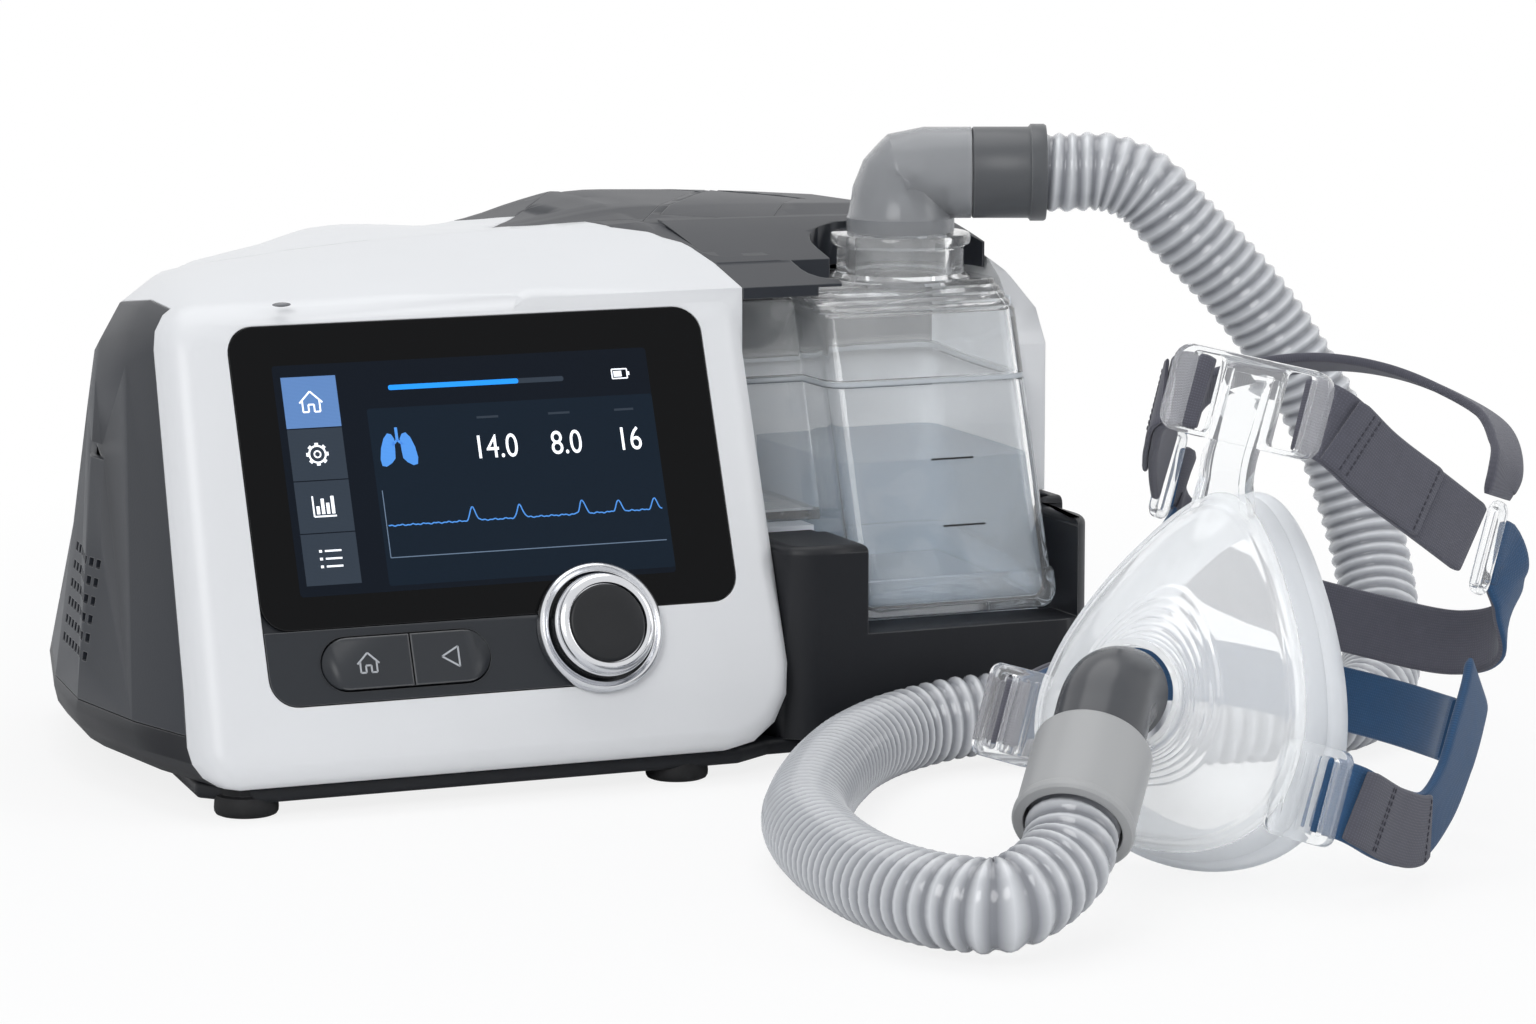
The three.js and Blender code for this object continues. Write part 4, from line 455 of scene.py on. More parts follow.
plate_lean = 20.83               # degrees that the front plate leans back
plate_turn = Matrix.Rotation(radians(90 - plate_lean), 4, "X")
plate = Matrix.Translation(machine + Vector((0, 0, 0.008))) @ plate_turn
sensor = plate @ Matrix.Translation((-0.0445, 0.1312, 0.0002)) @ Matrix.Rotation(radians(-50), 4, "X")
sensor_mesh = bmesh.new()
bmesh.ops.create_uvsphere(sensor_mesh, u_segments=24, v_segments=12, radius=0.001)
for vertex in sensor_mesh.verts:
    vertex.co = sensor @ Vector((vertex.co.x * 2.6, vertex.co.y, vertex.co.z * 0.5))
light_sensor = put_down("light_sensor", sensor_mesh)
chosen(light_sensor)
bpy.ops.object.shade_smooth()
light_sensor.data.materials.append(moulded("sensor_lens", (0.16, 0.165, 0.175), 0.15, grain=0, gloss=0.5))
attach(light_sensor, "housing")

# Dark shells, rear and base
# Left side, top and rear are matt charcoal mouldings; the base tray is darker.
# They are screwed together from below.
charcoal_abs = moulded("charcoal_abs", (0.024, 0.027, 0.034), 0.42, grain=0.12, scale=1800, light=0.12,
                       gloss=0.24)
base_abs = moulded("base_abs", (0.011, 0.012, 0.015), 0.45, grain=0.12, scale=1800, light=0.1)
# The bay's lining and the tank's well are given a pale colour: painted light, standing for the light that
# shines in through the clear tank.
lit_pale_liner = (0.86, 0.89, 0.93)
painted_light_liner = moulded("painted_light_liner", lit_pale_liner, 0.4, grain=0.08)
for name, node, paint, label in (
    ("flank_cover", "left_side_cover", charcoal_abs, "dark_housing"),
    ("back_panel", "rear_panel", charcoal_abs, "dark_housing"),
    ("filter_grille", "filter_cover", charcoal_abs, "dark_housing"),
    ("base", "base_tray", base_abs, "dark_base"),
):
    smooth_copy(name, node, "housing", paint)
smooth_copy("card_door", "card_flap", "card_flap", charcoal_abs)
base = bpy.data.objects["base"]
front_lean = 0.3346              # the tank's front and its well go back so far per unit of height
rim_above, rim_right_of, rim_ahead_of = 54, 88, 52      # where the tray's upper rims are found, in mm
rim_round = 0.0022
tray = bmesh.new()
tray.from_mesh(base.data)
tray_rims = []
for edge in tray.edges:
    ends = [(v.co - machine) * 1000 for v in edge.verts]
    level = abs(ends[0].z - ends[1].z) < 0.2
    upper = all(p.z > rim_above and p.x > rim_right_of and p.y < rim_ahead_of for p in ends)
    if level and upper and len(edge.link_faces) == 2 and edge.is_convex and edge.calc_face_angle() > 0.8:
        tray_rims.append(edge)
bmesh.ops.bevel(tray, geom=tray_rims, offset=rim_round, segments=4, profile=0.5, affect="EDGES",
                clamp_overlap=False)
tray.to_mesh(base.data)
tray.free()
base.data.materials.append(painted_light_liner)
# The well's faces get the pale paint: painted light from the clear tank.
well = ((111, 174), (24, 109), (30, 90))                # the pale well for the tank: x, y and z from and to
(left, right), (front, rear), (bottom, top) = well
for face in base.data.polygons:
    x, y, z = (face.center - machine) * 1000
    if left < x < right and front + (z - 36) * front_lean < y < rear and bottom < z < top:
        face.material_index = 1
lining = smooth_copy("bay_lining", "bay_liner", "housing", painted_light_liner)
airway_shade = moulded("airway_shade", (0.1, 0.11, 0.13), 0.5, grain=0.08)
nodes = airway_shade.node_tree
shade_place = nodes.nodes.new("ShaderNodeTexCoord")
shade_axes = nodes.nodes.new("ShaderNodeSeparateXYZ")
shade_height = nodes.nodes.new("ShaderNodeMapRange")
shade_height.inputs["From Min"].default_value = 0.0985      # the wall turns dark between these heights
shade_height.inputs["From Max"].default_value = 0.1035
shade_tone = nodes.nodes.new("ShaderNodeValToRGB")
# below the painted shade the wall keeps the liner's pale painted light
shade_tone.color_ramp.elements[0].color = (*lit_pale_liner, 1)
shade_tone.color_ramp.elements[1].color = (0.045, 0.052, 0.065, 1)
wired(nodes, (
    (shade_place.outputs["Object"], shade_axes.inputs[0]),
    (shade_axes.outputs["Z"], shade_height.inputs["Value"]),
    (shade_height.outputs[0], shade_tone.inputs[0]),
    (shade_tone.outputs[0], nodes.nodes["Group"].inputs["Colour"]),
))
lining.data.materials.append(airway_shade)
rear_wall = 95                   # faces further back than this belong to the bay's rear wall
for face in lining.data.polygons:
    if (face.center.y - machine.y) * 1000 > rear_wall and abs(face.normal.y) > 0.7:
        face.material_index = 1

# Top
# The dark top bridges the tank's side chamber and leaves a round recess for the neck.
# Left of a long seam the white moulding carries on over the shoulder to the rear.
crease_height, crease_depth = 129.5, 46.2               # the crease between the face and the top
dome_run, dome_rise, dome_middle = 103.8, 17, 70


def dome(x, y):
    """Height of the top's outer face, in millimetres."""
    share = max((y - crease_depth) / dome_run, 0)
    half = 100 if x < dome_middle else 200
    rise = dome_rise * sin(min(share, 1) * pi / 2)
    fall = 14 * share ** 1.8 * ((x - dome_middle) / half) ** 2     # toward both sides
    return crease_height + rise - fall


def soft_step(value):
    """Goes from 0 to 1 with a gentle start and end, and stays level outside."""
    value = min(max(value, 0), 1)
    return value * value * (3 - 2 * value)


def millimetre_cuts(piece, pitch):
    """Cuts the piece's faces along an even grid, so that it can be bent."""
    mesh = bmesh.new()
    mesh.from_mesh(piece.data)
    for axis, first, last in ((0, -84, 180), (1, 40, 204)):    # across the top, then along it
        for place in range(first, last, pitch):
            spot, normal = [0, 0, 0], [0, 0, 0]
            spot[axis], normal[axis] = place, 1
            everything = mesh.verts[:] + mesh.edges[:] + mesh.faces[:]
            bmesh.ops.bisect_plane(mesh, geom=everything, dist=0.000001,
                                   plane_co=machine + Vector(spot) / 1000, plane_no=normal)
    mesh.to_mesh(piece.data)
    mesh.free()


settles_by = 0.0084              # how far the dome comes down where the shares below are all 1


def settle(piece):
    """Lowers the dome behind the white shoulder, where the real top lies flatter."""
    for vertex in piece.data.vertices:
        x, y, z = (vertex.co - machine) * 1000
        across_share = soft_step(x / 46) * (1 - soft_step((x - 46) / 44))
        rear_share = soft_step((y - 60) / 134)
        upper_share = soft_step((z - 110) / 18)
        vertex.co.z -= settles_by * across_share * rear_share * upper_share


def lofted(name, rings, closed=False):
    """A closed body through rings of equal point count, given in millimetres at the machine's zero."""
    mesh = bmesh.new()
    rows = [[mesh.verts.new(machine + Vector(p) / 1000) for p in ring] for ring in rings]
    pairs = list(zip(rows, rows[1:])) + ([(rows[-1], rows[0])] if closed else [])
    for low, high in pairs:
        for j in range(len(low)):
            k = (j + 1) % len(low)
            mesh.faces.new([low[j], low[k], high[k], high[j]])
    if not closed:
        mesh.faces.new(rows[0][::-1])
        mesh.faces.new(rows[-1])
    bmesh.ops.recalc_face_normals(mesh, faces=mesh.faces)
    return put_down(name, mesh)


def joined(piece, tool, operation):
    """The piece with a tool added to it or cut from it; the tool is used up."""
    chosen(piece)
    change = piece.modifiers.new("join", "BOOLEAN")
    change.operation = operation
    change.solver = "EXACT"
    change.object = tool
    bpy.ops.object.modifier_apply(modifier="join")
    bpy.data.objects.remove(tool)
    return piece


def prism(name, outline, low, high):
    """An upright body over an outline of (x, y) points, between two heights."""
    return lofted(name, [[(x, y, z) for x, y in outline] for z in (low, high)])


neck_x, neck_y = 150, 75         # the middle of the tank's neck
recess_radius = 26
recess = [(neck_x + recess_radius * cos(radians(a)), neck_y + recess_radius * sin(radians(a)))
          for a in range(0, 181, 12)]
bridge_line = [(176.6, neck_y), *recess, (124, 66), (88.7, 66), (88.7, 107.9), (176.6, 107.9)]
roof = smooth_copy("roof_cover", "top_cover", "housing", charcoal_abs, 50)
span = prism("bridge", bridge_line, 128.8, 150)
crown = []                       # a body whose upper face is the dome, over a grid of points
crown_depths = [60 + 2.2 * j for j in range(24)]
for i in range(28):
    x = 86 + 3.4 * i
    crown.append([(x, y, dome(x, y) - 0.15) for y in crown_depths]
                 + [(x, crown_depths[-1], 120), (x, crown_depths[0], 120)])
roof = joined(roof, joined(span, lofted("crown", crown), "INTERSECT"), "UNION")
# the seam starts at the face's right edge and runs to the rear; the other points lie outside the roof
seam = [(-100, 10), (86.6, 10), (86.6, 50), (77, 90), (45, 194), (41, 208), (41, 230), (-100, 230)]
white_top = bpy.data.objects.new("white_top", roof.data.copy())
bpy.context.collection.objects.link(white_top)
white_top = joined(white_top, prism("left", seam, 124, 160), "INTERSECT")
seam_wide = 0.35
seam_gap = [(x + seam_wide, y) for x, y in seam]
roof = joined(roof, prism("left", seam_gap, 123.7, 160), "DIFFERENCE")
service_lid = smooth_copy("service_lid", "service_cover", "housing", charcoal_abs)
for piece in (roof, white_top, service_lid):
    millimetre_cuts(piece, 6)
    settle(piece)
    chosen(piece)
    bpy.ops.object.shade_smooth_by_angle(angle=radians(40))
white_top.data.materials.clear()
white_top.data.materials.append(white_abs)
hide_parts("top_cover")
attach(white_top, "housing")

# Rubber feet
# Five turned rubber feet are pressed into a shallow dark pan under the base tray.
# They keep the machine off the table.
rubber = moulded("rubber_black", (0.012, 0.012, 0.013), 0.62, grain=0.2, scale=900, light=0.05)


def turned(name, profile, place, steps=64, angle=40):
    """A round piece: its half outline, (radius, height) pairs, spun about the place's own Z."""
    data = bpy.data.meshes.new(name)
    data.from_pydata([(r, 0, h) for r, h in profile], [(i, i + 1) for i in range(len(profile) - 1)], [])
    piece = bpy.data.objects.new(name, data)
    bpy.context.collection.objects.link(piece)
    chosen(piece)
    bpy.ops.object.mode_set(mode="EDIT")
    bpy.ops.mesh.select_all(action="SELECT")
    bpy.ops.mesh.spin(steps=steps, angle=2 * pi, center=(0, 0, 0), axis=(0, 0, 1))
    bpy.ops.mesh.select_all(action="SELECT")
    bpy.ops.mesh.remove_doubles(threshold=0.000005)
    bpy.ops.mesh.normals_make_consistent(inside=False)
    bpy.ops.object.mode_set(mode="OBJECT")
    piece.data.transform(place)
    bpy.ops.object.shade_smooth_by_angle(angle=radians(angle))
    return piece


pan_outline = [(-78, 22), (-66, 8), (72, 8), (84, 16), (160, 16), (170, 26), (170, 160), (158, 176),
               (-30, 176), (-66, 150)]
base_pan = prism("base_pan", pan_outline, 3.8, 8.4)
chosen(base_pan)
pan_edges = base_pan.modifiers.new("edges", "BEVEL")
pan_edges.width = 0.0014
pan_edges.segments = 3
bpy.ops.object.modifier_apply(modifier="edges")
bpy.ops.object.shade_smooth_by_angle(angle=radians(40))
base_pan.data.materials.append(base_abs)
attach(base_pan, "housing")
for i in range(1, 6):
    low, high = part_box(f"foot_{i}")
    wide = (high[0] - low[0]) / 2
    tall = high[2] - low[2]
    foot = turned(f"rubber_foot_{i}", (
        (0, 0), (wide * 0.86, 0), (wide * 0.94, 0.0003), (wide * 0.99, 0.001), (wide, 0.002),
        (wide * 0.985, 0.0037), (wide * 0.93, 0.0052), (wide * 0.8, 0.0058), (wide * 0.78, tall), (0, tall),
    ), Matrix.Translation(((low[0] + high[0]) / 2, (low[1] + high[1]) / 2, low[2])))
    foot.data.materials.append(rubber)
    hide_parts(f"foot_{i}")
    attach(foot, "housing")

# Control strip and screen glass
# A grey strip carries the knob and the two keys; black glass covers the display above it.
# Both are glued into the front shell. Everything here is drawn in the plate's own plane.
strip_grey = moulded("strip_grey", (0.019, 0.022, 0.027), 0.36, grain=0.06, light=0.1)
smooth_copy("control_strip", "control_panel", "housing", strip_grey)
glass_black = moulded("glass_black", (0.0012, 0.0014, 0.002), 0.09, grain=0, edge=0.0003, light=0.05,
                      gloss=0.12)
smooth_copy("front_glass", "screen_glass", "housing", glass_black)


def lit(name, colour, strength):
    """A lit patch of the display, with the faint rows of its dots."""
    paint, nodes, shader = fresh_paint(name)
    place = nodes.nodes.new("ShaderNodeTexCoord")
    dots = nodes.nodes.new("ShaderNodeTexWave")
    dots.bands_direction = "Z"
    dots.inputs["Scale"].default_value = 900
    tone = nodes.nodes.new("ShaderNodeMix")
    tone.data_type = "RGBA"
    tone.inputs[6].default_value = (*(c * 0.9 for c in colour), 1)
    tone.inputs[7].default_value = (*colour, 1)
    wired(nodes, (
        (place.outputs["Object"], dots.inputs["Vector"]),
        (dots.outputs["Fac"], tone.inputs[0]),
        (tone.outputs[2], shader.inputs["Base Color"]),
        (tone.outputs[2], shader.inputs["Emission Color"]),
    ))
    shader.inputs["Emission Strength"].default_value = strength
    shader.inputs["Roughness"].default_value = 0.25
    shader.inputs["Specular IOR Level"].default_value = 0.1
    return paint


def on_plate(name, shapes, low, high, paint, body_name="housing"):
    """Flat shapes lying on the front plate, each an outline of (u, v) points in millimetres."""
    mesh = bmesh.new()
    for shape in shapes:
        under = [mesh.verts.new(plate @ Vector((u / 1000, v / 1000, low / 1000))) for u, v in shape]
        over = [mesh.verts.new(plate @ Vector((u / 1000, v / 1000, high / 1000))) for u, v in shape]
        mesh.faces.new(under[::-1])
        mesh.faces.new(over)
        for i in range(len(shape)):
            k = (i + 1) % len(shape)
            mesh.faces.new([under[i], under[k], over[k], over[i]])
    bmesh.ops.recalc_face_normals(mesh, faces=mesh.faces)
    piece = put_down(name, mesh)
    piece.data.materials.append(paint)
    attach(piece, body_name)
    return piece


def rect(u0, u1, v0, v1):
    """A square-cornered outline between two u and two v values."""
    return [(u0, v0), (u1, v0), (u1, v1), (u0, v1)]


def soft_rect(u0, u1, v0, v1, r, steps=5):
    """The same outline with corners of radius r."""
    shape = []
    corners = ((u1 - r, v0 + r), (u1 - r, v1 - r), (u0 + r, v1 - r), (u0 + r, v0 + r))
    for (cu, cv), start in zip(corners, (-90, 0, 90, 180)):
        for i in range(steps + 1):
            turn = radians(start + 90 * i / steps)
            shape.append((cu + r * cos(turn), cv + r * sin(turn)))
    return shape


def stroke(points, wide):
    """A line of even width along the points, as a run of short quads with square ends."""
    quads = []
    for (u0, v0), (u1, v1) in zip(points, points[1:]):
        long = sqrt((u1 - u0) ** 2 + (v1 - v0) ** 2) or 1
        du, dv = (u1 - u0) / long * wide / 2, (v1 - v0) / long * wide / 2
        quads.append([(u0 - dv, v0 + du), (u0 + dv, v0 - du), (u1 + dv, v1 - du), (u1 - dv, v1 + du)])
    return quads


def moved(points, u, v, size=1):
    """The points with their zero at (u, v), drawn at this size."""
    return [(u + a * size, v + b * size) for a, b in points]


def ring_strokes(u, v, r, wide, steps=20):
    """A circle drawn as a line of even width."""
    turns = [radians(360 * i / steps) for i in range(steps + 1)]
    return stroke(moved([(r * cos(turn), r * sin(turn)) for turn in turns], u, v), wide)


# Picture on the display
# Four tabs, a progress bar, a battery, a pair of lungs, three readings and a trace.
# They sit just on the glass, as a bonded display looks from outside.
navy = lit("display_navy", (0.0025, 0.005, 0.01), 0.4)
on_plate("display_ground", [soft_rect(-49.5, 57.5, 51.5, 114.5, 1)], 0.0, 0.03, navy)
field = lit("display_field", (0.004, 0.0095, 0.018), 0.5)
on_plate("display_field", [soft_rect(-24.5, 57.5, 53, 101.5, 0.8)], 0.02, 0.04, field)
tab_blue = lit("tab_blue", (0.1, 0.2, 0.42), 0.45)
tab_grey = lit("tab_grey", (0.022, 0.03, 0.042), 0.8)
on_plate("tab_lit", [rect(-47.4, -32.1, 97.2, 111.2)], 0.03, 0.06, tab_blue)
tabs = [rect(-47.4, -32.1, low, high) for low, high in ((82.9, 96.9), (68.6, 82.6), (54.4, 68.3))]
on_plate("tabs", tabs, 0.03, 0.06, tab_grey)
ink = lit("display_white", (0.78, 0.81, 0.86), 0.9)
house = [(-3.2, -0.2), (0, 2.9), (3.2, -0.2)]
walls = [(-2.4, 0.4), (-2.4, -2.7), (-0.8, -2.7), (-0.8, -0.7), (0.8, -0.7), (0.8, -2.7), (2.4, -2.7),
         (2.4, 0.4)]
icon_u, house_v, gear_v = -39.8, 104.2, 89.9
# a house, a gear, a bar chart and a list, one on each tab
shapes = stroke(moved(house, icon_u, house_v), 0.45) + stroke(moved(walls, icon_u, house_v), 0.45)
shapes += ring_strokes(icon_u, gear_v, 2.3, 0.5) + ring_strokes(icon_u, gear_v, 0.9, 0.4, 12)
for i in range(8):
    turn = radians(45 * i)
    tooth = [(r * cos(turn), r * sin(turn)) for r in (2.2, 3.1)]
    shapes += stroke(moved(tooth, icon_u, gear_v), 1.0)
shapes += stroke([(icon_u - 3, 78.6), (icon_u - 3, 73), (icon_u + 3.2, 73)], 0.45)
for i, tall in enumerate((2.2, 4.2, 3.0, 4.8)):
    shapes.append(rect(icon_u - 2.2 + i * 1.4, icon_u - 1.3 + i * 1.4, 73.6, 73.6 + tall))
for i in range(3):
    v = 63.6 - 2.1 * i
    shapes.append(rect(icon_u - 1.4, icon_u + 3.2, v - 0.25, v + 0.25))
    shapes.append(rect(icon_u - 3, icon_u - 2.2, v - 0.35, v + 0.35))
on_plate("tab_icons", shapes, 0.06, 0.09, ink)
bar_blue = lit("bar_blue", (0.015, 0.21, 0.66), 0.95)
on_plate("progress_done", [soft_rect(-17.7, 19.5, 106.3, 107.7, 0.6, 3)], 0.05, 0.08, bar_blue)
on_plate("progress_left", [soft_rect(-17.7, 32.6, 106.3, 107.7, 0.6, 3)], 0.03, 0.05, tab_grey)
battery = stroke([(46.8, 106.2), (51.2, 106.2), (51.2, 108.8), (46.8, 108.8), (46.8, 106.2)], 0.35)
battery += [rect(51.4, 51.9, 107, 108), rect(47.3, 49.6, 106.7, 108.3)]
on_plate("battery", battery, 0.03, 0.07, ink)
lung_blue = lit("lung_blue", (0.07, 0.24, 0.62), 0.6)
lobe = [(0.8, 2.6), (1.5, 3.9), (2.6, 4.2), (3.8, 2.8), (4.8, 0.2), (5.3, -2.8), (5.0, -4.6), (3.8, -4.9),
        (2.2, -4.0), (1.1, -2.8), (0.9, -0.6)]
lung_u, lung_v = -17.1, 90.3
lungs = [moved(lobe, lung_u, lung_v), moved([(-u, v) for u, v in lobe], lung_u, lung_v)]
lungs += stroke([(lung_u, 96), (lung_u, 92.2)], 0.8)
lungs += stroke([(lung_u - 1.5, 91.2), (lung_u, 92.6), (lung_u + 1.5, 91.2)], 0.7)
on_plate("lungs", lungs, 0.03, 0.07, lung_blue)
reading_marks = [rect(left, right, 97.2, 97.8) for left, right in ((6.2, 12.4), (26.8, 33), (46, 51.6))]
on_plate("reading_marks", reading_marks, 0.03, 0.06, tab_grey)
# an uneven base line with five peaks
wave = []
for i in range(221):
    u = -22.6 + 78.6 * i / 220
    lift = 0.12 * sin(u * 1.9) + 0.1 * sin(u * 4.3)
    for centre in (1.5, 15, 33, 43.5, 54):
        lift += (3.3 + 0.5 * sin(centre)) * exp(-((u - centre) / 1.05) ** 2)
    wave.append((u, 69.3 + lift))
on_plate("trace", stroke(wave, 0.34), 0.03, 0.07, lung_blue)
axis_grey = lit("axis_grey", (0.1, 0.14, 0.2), 0.8)
on_plate("trace_axes", stroke([(-23.1, 79), (-23.1, 60.6), (56, 60.6)], 0.25), 0.03, 0.06, axis_grey)
reading_v = 86.2
for name, words, u in (("reading_one", "14.0", 4.0), ("reading_two", "8.0", 26.3),
                       ("reading_three", "16", 45.4)):
    curve = bpy.data.curves.new(name, "FONT")
    curve.body = words
    curve.size = 0.0096
    curve.extrude = 0.00002
    figure = bpy.data.objects.new(name, curve)
    bpy.context.collection.objects.link(figure)
    chosen(figure)
    bpy.ops.object.convert(target="MESH")
    figure = bpy.context.object
    spot = Matrix.Translation((u / 1000, reading_v / 1000, 0.00005))
    figure.data.transform(plate @ spot @ Matrix.Diagonal((0.79, 0.96, 1, 1)))
    figure.data.materials.clear()
    figure.data.materials.append(ink)
    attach(figure, "housing")

# Knob
# A turned and plated knob with a dark cap, standing in a plated ring that is glued to the strip.
# It turns without end and presses in.


def clouded(name, scale, dark, light, smooth, rough, **sockets):
    """A polished finish whose tone and roughness drift a little from place to place."""
    paint, tree, body = fresh_paint(name)
    for label, value in sockets.items():
        body.inputs[label.replace("_", " ")].default_value = value
    place = tree.nodes.new("ShaderNodeTexCoord")
    cloud = tree.nodes.new("ShaderNodeTexNoise")
    cloud.inputs["Scale"].default_value = scale
    gloss = tree.nodes.new("ShaderNodeMapRange")
    gloss.inputs["To Min"].default_value = smooth
    gloss.inputs["To Max"].default_value = rough
    tone = tree.nodes.new("ShaderNodeValToRGB")
    tone.color_ramp.elements[0].color = (*dark, 1)
    tone.color_ramp.elements[1].color = (*light, 1)
    wired(tree, (
        (place.outputs["Object"], cloud.inputs["Vector"]),
        (cloud.outputs["Fac"], gloss.inputs["Value"]),
        (cloud.outputs["Fac"], tone.inputs[0]),
        (gloss.outputs[0], body.inputs["Roughness"]),
        (tone.outputs[0], body.inputs["Base Color"]),
    ))
    return paint


chrome = clouded("chrome_plate", 60, (0.62, 0.63, 0.66), (0.74, 0.75, 0.77), 0.12, 0.22, Metallic=1)
knob_place = plate @ Matrix.Translation((0.0328, 0.0376, 0))
knob_ring = turned("plated_ring", (
    (0.0152, 0.0003), (0.01775, 0.0003), (0.01775, 0.0021), (0.0174, 0.0028), (0.0168, 0.0032),
    (0.0162, 0.0031), (0.0157, 0.0026), (0.0152, 0.0025), (0.0152, 0.0003),
), knob_place, 96)
knob_ring.data.materials.append(chrome)
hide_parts("knob_ring")
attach(knob_ring, "housing")
knob_grip = turned("plated_knob", (
    (0.0033, 0.0016), (0.0141, 0.0016), (0.0142, 0.0018), (0.0142, 0.0052), (0.0139, 0.0056),
    (0.0136, 0.0057), (0.0136, 0.0066), (0.0134, 0.0072), (0.0127, 0.0078), (0.0119, 0.00795),
    (0.0111, 0.0078), (0.0109, 0.0074), (0.0109, 0.0065), (0.0033, 0.0065), (0.0033, 0.0016),
), knob_place, 96, 30)
knob_grip.data.materials.append(chrome)
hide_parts("knob_body")
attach(knob_grip, "knob")
cap_grey = moulded("cap_dark", (0.012, 0.013, 0.015), 0.38, grain=0.1, light=0.05)
knob_face = turned("dark_cap", (
    (0, 0.0068), (0.0106, 0.0068), (0.0106, 0.0074), (0.0104, 0.0077), (0.0099, 0.00785), (0.006, 0.0077),
    (0, 0.0076),
), knob_place, 72)
knob_face.data.materials.append(cap_grey)
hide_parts("knob_cap")
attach(knob_face, "knob")

# Keys
# Two half-pill keys moulded in grey plastic, with a printed house and a printed triangle.
# Each clicks a switch on the board behind the strip.
key_grey = moulded("key_grey", (0.027, 0.03, 0.035), 0.34, grain=0.04, edge=0.0008, light=0.16)
smooth_copy("home_cap", "home_button", "home_key", key_grey)
smooth_copy("back_cap", "back_button", "back_key", key_grey)
key_ink = moulded("key_ink", (0.55, 0.57, 0.6), 0.5, grain=0, light=0)
print_low, print_high = 1.0, 1.04
home_lines = [moved(line, -33.5, 32.6, 0.95) for line in (house, walls)]
home_shapes = stroke(home_lines[0], 0.5) + stroke(home_lines[1], 0.5)
back_shapes = stroke([(-8.1, 35.4), (-12.8, 32.9), (-8.1, 29.9), (-8.1, 35.4)], 0.5)
on_plate("home_print", home_shapes, print_low, print_high, key_ink, "home_key")
on_plate("back_print", back_shapes, print_low, print_high, key_ink, "back_key")

# Humidifier tub
# A clear injection-moulded tub with a thick foot band, a shallow chamber at its left side
# and a metal plate let into its floor.
clear_plastic = clouded("clear_plastic", 35, (0.95, 0.962, 0.97), (0.975, 0.982, 0.988), 0.01, 0.06,
                        Transmission_Weight=0.91, IOR=1.2, Coat_Weight=0.6)
clear_nodes = clear_plastic.node_tree
clear_bump = clear_nodes.nodes.new("ShaderNodeBump")
clear_bump.inputs["Strength"].default_value = 0.08
clear_bump.inputs["Distance"].default_value = 0.001
wired(clear_nodes, (
    (clear_nodes.nodes["Noise Texture"].outputs["Fac"], clear_bump.inputs["Height"]),
    (clear_bump.outputs[0], clear_nodes.nodes["Principled BSDF"].inputs["Normal"]),
))


def lets_light_in(paint, share):
    """Lamps shine through the piece by this share, as they do through thin clear plastic."""
    nodes = paint.node_tree
    rays = nodes.nodes.new("ShaderNodeLightPath")
    through = nodes.nodes.new("ShaderNodeMapRange")
    through.inputs["To Min"].default_value = 1
    through.inputs["To Max"].default_value = 1 - share
    wired(nodes, (
        (rays.outputs["Is Shadow Ray"], through.inputs["Value"]),
        (through.outputs[0], nodes.nodes["Principled BSDF"].inputs["Alpha"]),
    ))


lets_light_in(clear_plastic, 0.9)


def tank_ring(z, left, right, front, back, corner, grow):
    """A level outline of the tank at one height, made larger all round by grow."""
    outline = soft_rect(left - grow, right + grow, front - grow, back + grow, corner + grow, 7)
    return [(x, y, z) for x, y in outline]


def tank_front(z):
    """How far back the tank's leaning front stands at this height."""
    return 20 + (z - 38) * front_lean


def main_ring(z, grow, setback=0.0):
    """The deep chamber's outline."""
    return tank_ring(z, 113.5, 175.5, tank_front(z) + setback, 106, 7, grow)


def side_ring(z, grow):
    """The shallow chamber's outline."""
    return tank_ring(z, 90, 127.5, tank_front(z) + 20, 106, 4.8, grow)


def chamber(name, ring, levels):
    """A body through a chamber's outlines, with (height, growth) for each."""
    return lofted(name, [ring(*level) for level in levels])


tub = chamber("clear_tub", main_ring, (
    (38, -4), (38.4, -2.6), (39.2, -1.4), (40.6, -0.5), (43, 0), (100.4, 0),
))
flange = chamber("flange", main_ring, (
    (38, -3.6), (38.4, -2.2), (39.2, -0.9), (40.4, 0.1), (42, 0.8), (44, 1.1), (47.6, 1.1), (48.6, 0.8),
    (49, 0.1),
))
tub = joined(tub, flange, "UNION")
tub = joined(tub, chamber("side", side_ring, ((63, -0.8), (63.8, 0), (100.4, 0))), "UNION")
hollow = chamber("hollow", main_ring, ((40.2, -6.4), (41, -4.6), (42.4, -3.2), (45, -2.2), (104, -2.2)))
tub = joined(tub, hollow, "DIFFERENCE")
tub = joined(tub, chamber("side_hollow", side_ring, ((65.2, -3), (66, -2.2), (104, -2.2))), "DIFFERENCE")
plate_low, plate_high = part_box("tank_floor_plate")
plate_low, plate_high = (plate_low - machine) * 1000, (plate_high - machine) * 1000
window = lofted("window", [tank_ring(z, plate_low[0], plate_high[0], plate_low[1], plate_high[1], 6, 0.3)
                           for z in (36, 42)])
tub = joined(tub, window, "DIFFERENCE")
bpy.ops.object.shade_smooth_by_angle(angle=radians(40))
tub.data.materials.append(clear_plastic)
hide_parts("tank_tub")
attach(tub, "tank")

